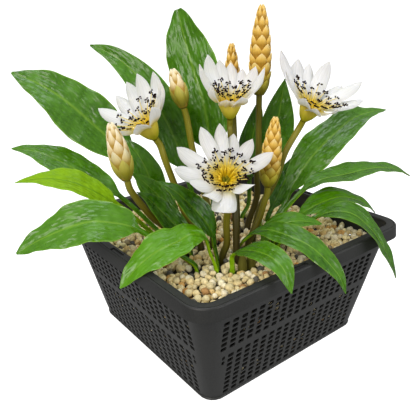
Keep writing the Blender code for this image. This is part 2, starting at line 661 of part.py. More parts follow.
def build():
    clear_scene()
    make_basket(material("black_plastic", BASKET_BLACK, 0.5))
    make_gravel(material("clay_gravel", GRAVEL_CREAM, 0.85))
    green = material("leaf", LEAF_GREEN, 0.35)
    for leaf in LEAVES:
        make_leaf(leaf, green)
    olive = material("stalk", STALK_OLIVE, 0.45)
    axes = {head.stalk: unit(head.heading, head.elevation) for head in FLOWERS + SPIKES}
    axes["stalk_closed_bud"] = unit(*CLOSED_BUD_LEAN)
    seats = {stalk.name: make_stalk(stalk, axes[stalk.name], olive) for stalk in STALKS}
    white = material("petal", PETAL_WHITE, 0.5)
    for flower in FLOWERS:
        make_flower(flower, seats[flower.stalk], white)
    yellow = material("bud_scale", BUD_YELLOW, 0.5)
    for spike in SPIKES:
        make_spike(spike, seats[spike.stalk], yellow)
    make_closed_bud(seats["stalk_closed_bud"], white)
    for sheath in SHEATHS:
        make_sheath(sheath, material("sheath", SHEATH_GREEN, 0.5))


build()
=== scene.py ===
import math
from collections import namedtuple

import bpy
import numpy as np
from mathutils import Matrix, Vector, noise


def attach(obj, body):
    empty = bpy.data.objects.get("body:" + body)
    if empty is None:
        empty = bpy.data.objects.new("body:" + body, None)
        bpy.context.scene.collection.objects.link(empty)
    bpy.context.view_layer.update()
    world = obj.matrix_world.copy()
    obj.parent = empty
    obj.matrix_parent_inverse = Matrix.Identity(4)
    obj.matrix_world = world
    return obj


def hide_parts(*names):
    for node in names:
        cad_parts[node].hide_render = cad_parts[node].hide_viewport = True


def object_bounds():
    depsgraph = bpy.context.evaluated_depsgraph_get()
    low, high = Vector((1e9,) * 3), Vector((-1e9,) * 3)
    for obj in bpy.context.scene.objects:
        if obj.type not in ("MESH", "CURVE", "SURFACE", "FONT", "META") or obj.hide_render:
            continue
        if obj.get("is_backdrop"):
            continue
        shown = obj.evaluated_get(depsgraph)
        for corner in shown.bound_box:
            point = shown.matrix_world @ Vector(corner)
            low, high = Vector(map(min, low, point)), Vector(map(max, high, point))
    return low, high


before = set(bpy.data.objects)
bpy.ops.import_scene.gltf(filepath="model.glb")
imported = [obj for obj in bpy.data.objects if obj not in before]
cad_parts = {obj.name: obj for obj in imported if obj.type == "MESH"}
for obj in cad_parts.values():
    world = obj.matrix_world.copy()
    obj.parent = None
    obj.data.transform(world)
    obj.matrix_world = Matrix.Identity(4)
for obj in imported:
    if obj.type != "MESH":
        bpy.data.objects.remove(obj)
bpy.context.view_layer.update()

# Camera and studio. The plant stands on a white table that glows like a light table and sweeps up into
# white walls, under one large soft window from the upper left and weaker ones from above and the right.
MM = 0.001
# Places are in metres and angles in degrees; the lens and the sensor are in millimetres. The ROOM values
# are how bright the room is above the plant, level with it and below it.
CAMERA_PLACE = Vector((-0.2235, -0.2736, 0.2330))
CAMERA_AZIMUTH = -37.2963
CAMERA_ELEVATION = 21.2518
CAMERA_ROLL = -1.5105
CAMERA_LENS = 42.80
SENSOR = 36.0
ROOM_ABOVE = 0.75
ROOM_LEVEL = 0.22
ROOM_BELOW = 0.55
TABLE_GLOW = 1.0
TABLE_RADIUS = 5.0
TABLE_SWEEP = 1.5
TABLE_SWEEP_STEPS = 6
TABLE_WALL_TOP = 4.0
TABLE_SIDES = 64


def linear(colour):
    """An sRGB hex colour as linear RGBA."""
    parts = [int(colour[i:i + 2], 16) / 255 for i in (1, 3, 5)]
    return tuple(p / 12.92 if p <= 0.04045 else ((p + 0.055) / 1.055) ** 2.4 for p in parts) + (1.0,)


def wire(tree, node, sockets):
    """Gives a node's sockets, by name or number, a value, or a link where an output is given."""
    for key, value in sockets.items():
        if isinstance(value, bpy.types.NodeSocket):
            tree.links.new(value, node.inputs[key])
        else:
            node.inputs[key].default_value = value
    return node


def add(tree, kind, sockets, **settings):
    """Adds one node with its settings, values and links."""
    made = tree.nodes.new(kind)
    for key, value in settings.items():
        setattr(made, key, value)
    return wire(tree, made, sockets)


def ring_faces(rings, sides):
    """The quads between rings of points that follow one another, each ring with the same sides."""
    faces = []
    for ring in range(rings - 1):
        for side in range(sides):
            here, beside = ring * sides + side, ring * sides + (side + 1) % sides
            faces.append((here, beside, beside + sides, here + sides))
    return faces


def new_material(name):
    """An empty material with its node tree and its surface shader."""
    made = bpy.data.materials.new(name)
    made.use_nodes = True
    return made, made.node_tree, made.node_tree.nodes["Principled BSDF"]


azimuth, elevation, roll = (math.radians(v) for v in (CAMERA_AZIMUTH, CAMERA_ELEVATION, CAMERA_ROLL))
back = Vector((math.sin(azimuth) * math.cos(elevation), -math.cos(azimuth) * math.cos(elevation),
               math.sin(elevation)))
level = Vector((math.cos(azimuth), math.sin(azimuth), 0.0))
above = back.cross(level)
right = level * math.cos(roll) + above * math.sin(roll)
upward = above * math.cos(roll) - level * math.sin(roll)
camera_data = bpy.data.cameras.new("camera")
camera_data.sensor_width = SENSOR
camera_data.lens = CAMERA_LENS
camera_data.clip_start = 0.01
camera_data.clip_end = 50.0
camera = bpy.data.objects.new("camera", camera_data)
turned = Matrix((right, upward, back)).transposed().to_4x4()
camera.matrix_world = Matrix.Translation(CAMERA_PLACE) @ turned
bpy.context.scene.collection.objects.link(camera)
bpy.context.scene.camera = camera
bpy.context.scene.view_settings.view_transform = "Standard"

for name, place, aim, size, power, tint in (
        ("window_left", (-1.05, -0.50, 0.85), (0.0, 0.0, 0.10), 0.8, 13.0, "#fff8f0"),
        ("window_top", (0.15, 0.35, 1.35), (0.0, 0.0, 0.10), 0.7, 5.5, "#f2f6ff"),
        ("window_right", (0.55, -1.05, 0.55), (0.0, 0.0, 0.10), 0.6, 4.5, "#ffffff")):
    lamp = bpy.data.lights.new(name, "AREA")
    lamp.size = size
    lamp.energy = power
    lamp.color = linear(tint)[:3]
    light = bpy.data.objects.new(name, lamp)
    light.location = place
    light.rotation_mode = "QUATERNION"
    light.rotation_quaternion = (Vector(aim) - Vector(place)).to_track_quat("-Z", "Y")
    bpy.context.scene.collection.objects.link(light)

room = bpy.data.worlds.new("room")
room.use_nodes = True
look = add(room.node_tree, "ShaderNodeTexCoord", {})
rise = add(room.node_tree, "ShaderNodeSeparateXYZ", {0: look.outputs["Generated"]})
upper = add(room.node_tree, "ShaderNodeMapRange",
            {"Value": rise.outputs["Z"], "To Min": ROOM_LEVEL, "To Max": ROOM_ABOVE})
lower = add(room.node_tree, "ShaderNodeMapRange",
            {"Value": rise.outputs["Z"], "From Max": -0.6, "To Min": ROOM_LEVEL, "To Max": ROOM_BELOW})
glow = add(room.node_tree, "ShaderNodeMath", {0: upper.outputs["Result"], 1: lower.outputs["Result"]},
           operation="MAXIMUM")
room.node_tree.nodes["Background"].inputs["Color"].default_value = linear("#ffffff")
room.node_tree.links.new(glow.outputs[0], room.node_tree.nodes["Background"].inputs["Strength"])
bpy.context.scene.world = room

# The table is acrylic sheet, matt and lit through: an even white that casts no colour.
white_table, tree, shader = new_material("white_acrylic_lit_through")
wire(tree, shader, {"Base Color": linear("#b0b0b0"), "Roughness": 0.9, "Specular IOR Level": 0.0,
                    "Emission Color": linear("#ffffff"), "Emission Strength": TABLE_GLOW})
table_section = [(TABLE_RADIUS, 0.0)]
for step in range(1, TABLE_SWEEP_STEPS + 1):
    bend = step * math.pi / (2 * TABLE_SWEEP_STEPS)
    table_section.append((TABLE_RADIUS + TABLE_SWEEP * math.sin(bend), TABLE_SWEEP * (1 - math.cos(bend))))
table_section.append((TABLE_RADIUS + TABLE_SWEEP, TABLE_WALL_TOP))
table_points = []
for reach, height in table_section:
    for side in range(TABLE_SIDES):
        turn = math.tau * side / TABLE_SIDES
        table_points.append((reach * math.cos(turn), reach * math.sin(turn), height))
table_faces = ring_faces(len(table_section), TABLE_SIDES) + [tuple(range(TABLE_SIDES))]
table_mesh = bpy.data.meshes.new("table_top")
table_mesh.from_pydata(table_points, [], table_faces)
table_mesh.materials.append(white_table)
table_top = bpy.data.objects.new("table_top", table_mesh)
bpy.context.scene.collection.objects.link(table_top)
table_top.visible_diffuse = False
table_top.visible_glossy = False
table_top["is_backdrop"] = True


# The basket: one injection moulding of black polypropylene, a tapered square tub whose four walls are
# pierced by about 1,200 small slots, with plain rounded corners and a turned-down band round the rim.
RIM_WIDTH = 190.0
BASKET_HEIGHT = 87.0
BASE_WIDTH = 146.0
WALL_TOP_WIDTH = 181.0
WALL_THICKNESS = 1.0
RIM_THICKNESS = 1.5
RIM_CORNER = 16.0
WALL_TOP_CORNER = 13.0
BASE_CORNER = 10.0
FOOT_LIP = 0.6
FOOT_LIP_HEIGHT = 1.3
# The grid of holes: its middle is offset along each side, the front first, and its lowest row is narrower
# than its top one by the share HOLE_CONVERGE. The row SOLID_ROW, counted from the top, stays plain.
HOLE_COLUMNS = 20
HOLE_PITCH = 7.13
HOLE_OFFSETS = (-1.75, 0.0, 0.0, 1.75)
HOLE_TOP_ROW = 66.5
HOLE_ROW_PITCH = 4.1
HOLE_ROWS = 16
SOLID_ROW = 6
HOLE_WIDTH = 4.6
HOLE_HEIGHT = 2.9
HOLE_ROUND = 0.8
HOLE_CONVERGE = 0.02
HOLE_POINTS = 12
CORNER_LINES = 4
CORNER_MARGIN = 0.4
RIM_STATION = 50.0
RIM_CORNER_STEPS = 10
SLOT_LENGTH = 15.0
SLOT_CENTRES = (-15.0, 0.0, 0.0, -1.5)
# The rim's section, as distance from the basket's middle and height; the named distances bound a slot.
SLOT_INSIDE = 89.9
SLOT_OUTSIDE = 93.1
RIM_UNDER = BASKET_HEIGHT - RIM_THICKNESS
RIM_SECTION = (
    (96.0, 78.5), (95.9, 79.2), (95.15, 85.9), (94.95, 86.5), (94.55, 86.9), (94.1, 87.0),
    (93.75, 87.0), (93.65, 86.55), (93.4, 86.55), (93.3, 87.0), (SLOT_OUTSIDE, 87.0), (SLOT_INSIDE, 87.0),
    (88.7, 87.0), (88.2, 86.85), (88.0, 86.4), (88.05, RIM_UNDER), (SLOT_INSIDE, RIM_UNDER),
    (SLOT_OUTSIDE, RIM_UNDER), (93.6, 85.3), (93.8, 84.6), (94.5, 78.5))


def solid(name, points, faces, materials, face_materials=None, smooth_angle=40.0):
    """A mesh object from points in millimetres and faces, smooth but for edges past smooth_angle."""
    mesh = bpy.data.meshes.new(name)
    mesh.from_pydata([(x * MM, y * MM, z * MM) for x, y, z in points], [], faces)
    for made in materials:
        mesh.materials.append(made)
    if face_materials is not None:
        mesh.polygons.foreach_set("material_index", face_materials)
    mesh.shade_smooth()
    mesh.set_sharp_from_angle(angle=math.radians(smooth_angle))
    mesh.update()
    obj = bpy.data.objects.new(name, mesh)
    bpy.context.scene.collection.objects.link(obj)
    return obj


def wall_half(z):
    """Half the outer width of the wall at height z."""
    return (BASE_WIDTH + (WALL_TOP_WIDTH - BASE_WIDTH) * z / RIM_UNDER) / 2


def wall_corner(z):
    """The outer radius of the wall's corner at height z."""
    return BASE_CORNER + (WALL_TOP_CORNER - BASE_CORNER) * z / RIM_UNDER


def within_walls(x, y, z, room):
    """Whether a place keeps room to the inside of the walls and their rounded corners."""
    corner = wall_corner(z)
    middle = wall_half(z) - corner
    past = math.hypot(max(abs(x) - middle, 0.0), max(abs(y) - middle, 0.0))
    return past < corner - WALL_THICKNESS - room


def turned_point(x, y, z, quarter):
    """A point of the front side carried round to the side of that quarter."""
    for _ in range(quarter):
        x, y = -y, x
    return x, y, z


def wall_point(x, z, inset, quarter):
    """The place on the wall at x along its side and height z, wrapped round the corner past its straight."""
    half, corner = wall_half(z), wall_corner(z)
    straight = half - corner
    if z < FOOT_LIP_HEIGHT and inset == 0:
        inset = -FOOT_LIP
    if abs(x) <= straight:
        return turned_point(x, inset - half, z, quarter)
    bend = min((abs(x) - straight) / corner, math.pi / 4)
    return turned_point(math.copysign(straight + (corner - inset) * math.sin(bend), x),
                        -straight - (corner - inset) * math.cos(bend), z, quarter)


def corner_reach(z):
    """How far along a side the middle of its corner lies."""
    return wall_half(z) - wall_corner(z) + wall_corner(z) * math.pi / 4


def line_place(line, z, quarter):
    """Where an upright line of the wall's grid stands: corner lines first, then half columns, then corner."""
    narrowing = 1 - HOLE_CONVERGE * (HOLE_TOP_ROW - z) / (HOLE_ROW_PITCH * (HOLE_ROWS - 1))
    first = (HOLE_OFFSETS[quarter] - HOLE_COLUMNS * HOLE_PITCH / 2) * narrowing
    reach = corner_reach(z)
    first = max(first, CORNER_MARGIN - reach)
    last = (HOLE_OFFSETS[quarter] + HOLE_COLUMNS * HOLE_PITCH / 2) * narrowing
    last = min(last, reach - CORNER_MARGIN)
    step = line - CORNER_LINES
    if step < 0:
        return -reach + (first + reach) * line / CORNER_LINES
    if step > 2 * HOLE_COLUMNS:
        return last + (reach - last) * (step - 2 * HOLE_COLUMNS) / CORNER_LINES
    place = (HOLE_OFFSETS[quarter] + (step / 2 - HOLE_COLUMNS / 2) * HOLE_PITCH) * narrowing
    return min(max(place, first), last)


def row_height(row):
    """The height of the middle of a row of holes, counted from the top."""
    return HOLE_TOP_ROW - HOLE_ROW_PITCH * row


def hole_outline(x, z, half_width):
    """The rounded outline of one hole, counter-clockwise from the right side's top."""
    w, h, cut = half_width, HOLE_HEIGHT / 2, min(HOLE_ROUND, half_width * 0.6)
    quarter = ((w, h - cut), (w - cut * 0.3, h - cut * 0.3), (w - cut, h))
    return ([(x + u, z + v) for u, v in quarter] + [(x - u, z + v) for u, v in reversed(quarter)]
            + [(x - u, z - v) for u, v in quarter] + [(x + u, z - v) for u, v in reversed(quarter)])


def hole_half_width(column, row):
    """Half a hole's width, or 0 where the wall is plain."""
    if row < SOLID_ROW:
        return HOLE_WIDTH / 2
    if row == SOLID_ROW:
        return 0.0
    if 0 < column < HOLE_COLUMNS - 1:
        return HOLE_WIDTH / 2
    return HOLE_WIDTH / 4 if row < SOLID_ROW + 3 else 0.0


# The heights of the wall's grid, from the foot up; each row of holes has one at its middle and one between.
levels = [0.0, 1.2, 1.7, row_height(HOLE_ROWS - 0.5)]
for row in range(HOLE_ROWS - 1, -1, -1):
    levels += [row_height(row), row_height(row - 0.5)]
levels += [73.5, 78.5, RIM_UNDER + 0.4]
first_cell_level = 3
lines_a_side = 2 * CORNER_LINES + 2 * HOLE_COLUMNS
basket_points = []
basket_faces = []
FLOOR_LEVEL = 2
known = {}


def wall_vertex(quarter, line, level, inner):
    """The number of the wall's grid point, made when first asked for."""
    quarter, line = (quarter + line // lines_a_side) % 4, line % lines_a_side
    key = (quarter, line, level, inner)
    if key not in known:
        z = levels[level]
        if inner:
            z = max(z, WALL_THICKNESS) if level >= FLOOR_LEVEL else WALL_THICKNESS
        known[key] = len(basket_points)
        basket_points.append(wall_point(line_place(line, z, quarter), z, WALL_THICKNESS * inner, quarter))
    return known[key]


for quarter in range(4):
    for line in range(lines_a_side):
        for level in range(len(levels) - 1):
            column = (line - CORNER_LINES) // 2
            row_step = (level - first_cell_level) // 2
            row = HOLE_ROWS - 1 - row_step
            in_grid = 0 <= column < HOLE_COLUMNS and 0 <= row_step < HOLE_ROWS
            if in_grid and hole_half_width(column, row):
                continue
            for inner in (0, 1):
                if inner and level < FLOOR_LEVEL:
                    continue
                corners = [wall_vertex(quarter, line + i, level + j, inner)
                           for i, j in ((0, 0), (1, 0), (1, 1), (0, 1))]
                basket_faces.append(tuple(reversed(corners)) if inner else tuple(corners))
    for column in range(HOLE_COLUMNS):
        for row in range(HOLE_ROWS):
            half_width = hole_half_width(column, row)
            if not half_width:
                continue
            line = CORNER_LINES + 2 * column
            level = first_cell_level + 2 * (HOLE_ROWS - 1 - row)
            z = row_height(row)
            x = line_place(line + 1, z, quarter)
            if half_width < HOLE_WIDTH / 2:
                x -= math.copysign(HOLE_WIDTH / 4, x)
            rings = []
            for inner in (0, 1):
                start = len(basket_points)
                for u, v in hole_outline(x, z, half_width):
                    basket_points.append(wall_point(u, v, WALL_THICKNESS * inner, quarter))
                rings.append(range(start, start + HOLE_POINTS))
                frame_points = [wall_vertex(quarter, line + i, level + j, inner)
                                for i, j in ((2, 2), (1, 2), (0, 2), (0, 1), (0, 0), (1, 0), (2, 0), (2, 1))]
                skin = []
                for i in range(4):
                    arc = [start + 3 * i + k for k in range(3)]
                    corner, middle, following = (frame_points[(2 * i + k) % 8] for k in range(3))
                    skin += [(corner, arc[1], arc[0]), (corner, arc[2], arc[1]),
                             (corner, middle, following, start + (3 * i + 3) % HOLE_POINTS, arc[2])]
                basket_faces += [tuple(reversed(f)) for f in skin] if inner else skin
            for i in range(HOLE_POINTS):
                j = (i + 1) % HOLE_POINTS
                basket_faces.append((rings[0][i], rings[0][j], rings[1][j], rings[1][i]))
around = [(quarter, line) for quarter in range(4) for line in range(lines_a_side)]
top_level = len(levels) - 1
for here, beside in zip(around, around[1:] + around[:1]):
    basket_faces.append((wall_vertex(*here, top_level, 0), wall_vertex(*beside, top_level, 0),
                         wall_vertex(*beside, top_level, 1), wall_vertex(*here, top_level, 1)))
basket_faces.append(tuple(wall_vertex(*place, 0, 0) for place in reversed(around)))
basket_faces.append(tuple(wall_vertex(*place, FLOOR_LEVEL, 1) for place in around))

rim_stations = []
for quarter in range(4):
    straight = RIM_WIDTH / 2 - RIM_CORNER
    low, high = SLOT_CENTRES[quarter] - SLOT_LENGTH / 2, SLOT_CENTRES[quarter] + SLOT_LENGTH / 2
    for x in (-straight, -RIM_STATION, low, (low + high) / 2, high, RIM_STATION):
        rim_stations.append((quarter, x, 0.0, low <= x < high))
    for i in range(RIM_CORNER_STEPS):
        rim_stations.append((quarter, straight, math.pi / 2 * i / RIM_CORNER_STEPS, False))
rim_start = len(basket_points)
count = len(RIM_SECTION)
for quarter, x, bend, _ in rim_stations:
    for reach, z in RIM_SECTION:
        corner = RIM_CORNER - (RIM_WIDTH / 2 - reach)
        depth = RIM_CORNER - RIM_WIDTH / 2 - corner * math.cos(bend)
        basket_points.append(turned_point(x + corner * math.sin(bend), depth, z, quarter))
outer = RIM_SECTION.index((SLOT_OUTSIDE, BASKET_HEIGHT))
inner_under = RIM_SECTION.index((SLOT_INSIDE, RIM_UNDER))
inner, outer_under = outer + 1, inner_under + 1
for number, station in enumerate(rim_stations):
    this, following = rim_start + number * count, rim_start + (number + 1) % len(rim_stations) * count
    for k in range(count):
        if station[3] and k in (outer, inner_under):
            continue
        m = (k + 1) % count
        basket_faces.append((this + k, following + k, following + m, this + m))
    if station[3]:
        basket_faces.append((this + outer, following + outer, following + outer_under, this + outer_under))
        basket_faces.append((this + inner, this + inner_under, following + inner_under, following + inner))
        if not rim_stations[number - 1][3]:
            basket_faces.append((this + outer, this + outer_under, this + inner_under, this + inner))
        if not rim_stations[number + 1][3]:
            basket_faces.append((following + inner, following + inner_under,
                                 following + outer_under, following + outer))

# Black polypropylene from a fine-sparked mould: a charcoal satin that takes a soft sheen of the room,
# a grain of about 0.3 mm (drawn at 0.9 mm to show at all) and slow clouds, where it is paler and duller.
polypropylene, tree, shader = new_material("black_polypropylene_moulded")
place = add(tree, "ShaderNodeTexCoord", {})
grain = add(tree, "ShaderNodeTexNoise", {"Vector": place.outputs["Object"], "Scale": 1100.0, "Detail": 2.0})
cloud = add(tree, "ShaderNodeTexNoise", {"Vector": place.outputs["Object"], "Scale": 28.0, "Detail": 3.0})
tone = add(tree, "ShaderNodeValToRGB", {"Fac": cloud.outputs["Fac"]})
tone.color_ramp.elements[0].position = 0.35
tone.color_ramp.elements[0].color = linear("#1b1c1c")
tone.color_ramp.elements[1].position = 0.70
tone.color_ramp.elements[1].color = linear("#252625")
speck = add(tree, "ShaderNodeMix", {0: grain.outputs["Fac"], 6: tone.outputs["Color"], 7: linear("#343534")},
            data_type="RGBA", blend_type="MIX")
sheen = add(tree, "ShaderNodeMapRange", {"Value": cloud.outputs["Fac"], "To Min": 0.38, "To Max": 0.52})
bump = add(tree, "ShaderNodeBump", {"Height": grain.outputs["Fac"], "Strength": 0.12, "Distance": 0.0002})
wire(tree, shader, {"Base Color": speck.outputs[2], "Roughness": sheen.outputs["Result"],
                    "Normal": bump.outputs["Normal"],
                    "IOR": 1.49,
                    "Specular IOR Level": 0.35})

basket = solid("basket_tub", basket_points, basket_faces, [polypropylene], smooth_angle=35.0)
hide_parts("basket")
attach(basket, "root")


# The gravel: pale fired-clay pellets of 3.5 to 6 mm, tumbled lumpy like popcorn, that fill the basket to
# 13 mm below its rim. Those in sight are modelled one by one: two layers on top, clear of the stems, and
# one behind the walls, where most get painted shade, their colour cut almost to black.
GRAVEL_TOP = 74.0
PELLET_SMALLEST = 1.8
PELLET_LARGEST = 3.1
BED_TOP = 69.5
# painted shade for the pellets behind the walls: the factor their colour is multiplied by, and the share of
# them that gets it
PAINTED_SHADE_DIMMING = 0.02
PAINTED_SHADE_AT_WALLS = 0.85
STEM_CLEAR = 2.2
BED_STEPS = 24
GRAVEL_SEED = 11
# Each pellet bulges and dips in three waves: how strong each is, as a share of the radius, and how many
# radians it turns by over one radius. Its stretch along each axis and its shade lie between two limits.
PELLET_WAVES = ((0.10, 2.6), (0.09, 4.2), (0.07, 6.0))
PELLET_STRETCH = (0.82, 1.14)
PELLET_SHADES = (0.82, 1.06)
# The clay's colours and how common each is, then the feet of all stems
PELLET_COLOURS = (("#f8e9b6", 30), ("#f2dfa8", 26), ("#fdf3d2", 18), ("#e6c98a", 7), ("#d8ab68", 2),
                  ("#bf9460", 2), ("#b0a184", 4), ("#66645c", 5), ("#dba35c", 1), ("#8c6a48", 1))
STEM_PLACES = (
    (-24, 22), (-14, 16), (3, 21), (32, 15), (34, -4), (28, -22), (18, -36), (6, -36), (13, -45), (-6, -47),
    (-14, -31), (-34, -50), (-42, -43), (-51, -33), (-51, 1), (-43, 9), (-31, 14), (-31, 1), (-41, -13),
    (-35, -36), (37, -12), (22, -3), (-20, -38), (12, -2), (-27, -31), (-29, -8), (-17, -8), (-40, -3),
    (-3, -31), (6, -26), (-25, -50), (-17, -50))


def ball(cuts):
    """Points and triangles of a ball made from a cube with cuts squares along each edge."""
    points, triangles, number = [], [], {}
    for axis in range(3):
        for sign in (-1, 1):
            for i in range(cuts):
                for j in range(cuts):
                    corners = []
                    for di, dj in ((0, 0), (1, 0), (1, 1), (0, 1)):
                        place = [0, 0, 0]
                        place[axis] = sign * cuts
                        place[(axis + 1) % 3] = 2 * (i + di) - cuts
                        place[(axis + 2) % 3] = 2 * (j + dj) - cuts
                        key = tuple(place)
                        if key not in number:
                            number[key] = len(points)
                            points.append([math.tan(v / cuts * math.pi / 4) for v in place])
                        corners.append(number[key])
                    if sign < 0:
                        corners.reverse()
                    triangles += [(corners[0], corners[1], corners[2]), (corners[0], corners[2], corners[3])]
    points = np.array(points)
    return points / np.linalg.norm(points, axis=1)[:, None], np.array(triangles)


def pellets(name, centres, radii, cuts, chance, materials, in_painted_shade=0.0):
    """Many lumpy pellets as one mesh, each with its own form and colour; a share of them gets painted shade.
    """
    form, triangles = ball(cuts)
    count = len(centres)
    turns = chance.normal(size=(count, 4))
    turns /= np.linalg.norm(turns, axis=1)[:, None]
    w, x, y, z = turns.T
    matrices = np.stack([1 - 2 * (y * y + z * z), 2 * (x * y - w * z), 2 * (x * z + w * y),
                         2 * (x * y + w * z), 1 - 2 * (x * x + z * z), 2 * (y * z - w * x),
                         2 * (x * z - w * y), 2 * (y * z + w * x), 1 - 2 * (x * x + y * y)], 1)
    matrices = matrices.reshape(count, 3, 3)
    size = np.ones((count, len(form)))
    for strength, waves in PELLET_WAVES:
        way = chance.normal(size=(count, 3))
        way *= waves / np.linalg.norm(way, axis=1)[:, None]
        size += strength * np.cos(way @ form.T + chance.uniform(0, math.tau, (count, 1)))
    stretched = form[None] * size[..., None] * chance.uniform(*PELLET_STRETCH, (count, 1, 3))
    shaped = stretched * radii[:, None, None]
    placed = np.einsum("kij,kvj->kvi", matrices, shaped) + centres[:, None]
    faces = (triangles[None] + (np.arange(count) * len(form))[:, None, None]).reshape(-1, 3)
    mesh = bpy.data.meshes.new(name)
    mesh.from_pydata((placed.reshape(-1, 3) * MM).tolist(), [], faces.tolist())
    shares = np.array([share for _, share in PELLET_COLOURS], float)
    palette = np.array([linear(colour) for colour, _ in PELLET_COLOURS])
    colours = palette[chance.choice(len(palette), count, p=shares / shares.sum())]
    colours[:, :3] *= chance.uniform(*PELLET_SHADES, (count, 1))
    # painted shade: this share of the pellets is darkened almost to black
    colours[chance.uniform(size=count) < in_painted_shade, :3] *= PAINTED_SHADE_DIMMING
    layer = mesh.color_attributes.new("pellet_colour", "FLOAT_COLOR", "POINT")
    painted = np.repeat(np.clip(colours, 0, 1), len(form), 0).astype(np.float32)
    layer.data.foreach_set("color", painted.ravel())
    for made in materials:
        mesh.materials.append(made)
    mesh.shade_smooth()
    obj = bpy.data.objects.new(name, mesh)
    bpy.context.scene.collection.objects.link(obj)
    return obj


def scatter(chance, tries, width, height, spacing):
    """Places within width and height of a middle, with room for each pellet's radius, as (x, y, radius)."""
    cell = 2 * PELLET_LARGEST
    taken, places = {}, []
    for _ in range(tries):
        x, y = chance.uniform(-width, width), chance.uniform(-height, height)
        radius = chance.uniform(PELLET_SMALLEST, PELLET_LARGEST)
        i, j = int(x // cell), int(y // cell)
        near = [p for di in (-1, 0, 1) for dj in (-1, 0, 1) for p in taken.get((i + di, j + dj), ())]
        if all((x - u) ** 2 + (y - v) ** 2 > ((radius + s) * spacing) ** 2 for u, v, s in near):
            taken.setdefault((i, j), []).append((x, y, radius))
            places.append((x, y, radius))
    return places


# Fired clay: matt and chalky, with pores of about 0.4 mm (drawn at 1.4 mm to show at all) that break each
# pellet's colour into paler and darker spots.
fired_clay, tree, shader = new_material("fired_clay_tumbled")
own = add(tree, "ShaderNodeAttribute", {}, attribute_name="pellet_colour")
place = add(tree, "ShaderNodeTexCoord", {})
pores = add(tree, "ShaderNodeTexNoise", {"Vector": place.outputs["Object"], "Scale": 700.0, "Detail": 3.0})
shade = add(tree, "ShaderNodeMapRange", {"Value": pores.outputs["Fac"], "From Min": 0.35, "From Max": 0.65,
                                         "To Min": 0.80, "To Max": 1.08})
dust = add(tree, "ShaderNodeMix", {0: 1.0, 6: own.outputs["Color"], 7: shade.outputs["Result"]},
           data_type="RGBA", blend_type="MULTIPLY")
chalk = add(tree, "ShaderNodeMapRange", {"Value": pores.outputs["Fac"], "To Min": 0.72, "To Max": 0.95})
bump = add(tree, "ShaderNodeBump", {"Height": pores.outputs["Fac"], "Strength": 0.5, "Distance": 0.0004})
wire(tree, shader, {"Base Color": dust.outputs[2], "Roughness": chalk.outputs["Result"],
                    "Normal": bump.outputs["Normal"],
                    "Specular IOR Level": 0.1})

# The clay of the bed, brown and dark as painted shade between the pellets, showing between them as 4 mm
# lumps.
painted_shade_clay, tree, shader = new_material("fired_clay_damp_shaded")
place = add(tree, "ShaderNodeTexCoord", {})
lumps = add(tree, "ShaderNodeTexVoronoi", {"Vector": place.outputs["Object"], "Scale": 260.0})
brown = add(tree, "ShaderNodeValToRGB", {"Fac": lumps.outputs["Distance"]})
brown.color_ramp.elements[0].color = linear("#1e1a14")
brown.color_ramp.elements[1].color = linear("#060504")
in_painted_shade = add(tree, "ShaderNodeMapRange", {"Value": lumps.outputs["Distance"], "To Min": 0.6, "To Max": 0.9})
bump = add(tree, "ShaderNodeBump", {"Height": lumps.outputs["Distance"], "Strength": 0.6, "Distance": 0.001})
wire(tree, shader, {"Base Color": brown.outputs["Color"], "Roughness": in_painted_shade.outputs["Result"],
                    "Normal": bump.outputs["Normal"]})

# the bed: a solid under the pellets in painted shade, standing for the deeper gravel
bed_points = []
for z, inset in ((WALL_THICKNESS + 0.3, 5.2), (BED_TOP - 1.5, 5.2), (BED_TOP, 8.0)):
    for quarter in range(4):
        half = wall_half(z) - inset
        for step in range(BED_STEPS):
            bed_points.append(turned_point(half * (2 * step / BED_STEPS - 1), -half, z, quarter))
round_bed = 4 * BED_STEPS
bed_faces = ring_faces(3, round_bed)
bed_faces += [tuple(reversed(range(round_bed))), tuple(range(2 * round_bed, 3 * round_bed))]
bed = solid("gravel_bed", bed_points, bed_faces, [painted_shade_clay], smooth_angle=30.0)

chance = np.random.default_rng(GRAVEL_SEED)
inner_half = wall_half(GRAVEL_TOP) - WALL_THICKNESS
# the top layer, packed close, which dips and swells by about 2 mm
top_places, top_radii = [], []
for x, y, radius in scatter(chance, tries=30000, width=inner_half - 1.9, height=inner_half - 1.9,
                            spacing=0.84):
    if not within_walls(x, y, GRAVEL_TOP - 3, radius * 1.1):
        continue
    if min((x - u) ** 2 + (y - v) ** 2 for u, v in STEM_PLACES) < (radius + STEM_CLEAR) ** 2:
        continue
    swell = noise.noise(Vector((x / 17, y / 17, 0.7)))
    top_places.append((x, y, GRAVEL_TOP - 0.6 + 1.8 * swell + chance.uniform(-1.4, 0.9)))
    top_radii.append(radius)
upper = pellets("gravel_top", np.array(top_places), np.array(top_radii), 3, chance, [fired_clay])

# the layer under it, which closes the gaps
under_places, under_radii = [], []
for x, y, radius in scatter(chance, tries=9000, width=inner_half - 3, height=inner_half - 3, spacing=0.95):
    if not within_walls(x, y, BED_TOP - 2, radius * 1.15):
        continue
    if min((x - u) ** 2 + (y - v) ** 2 for u, v in STEM_PLACES) < (radius + STEM_CLEAR - 0.6) ** 2:
        continue
    under_places.append((x, y, BED_TOP + 1.6 + chance.uniform(-0.8, 0.8)))
    under_radii.append(radius)
lower = pellets("gravel_under", np.array(under_places), np.array(under_radii), 2, chance, [fired_clay])

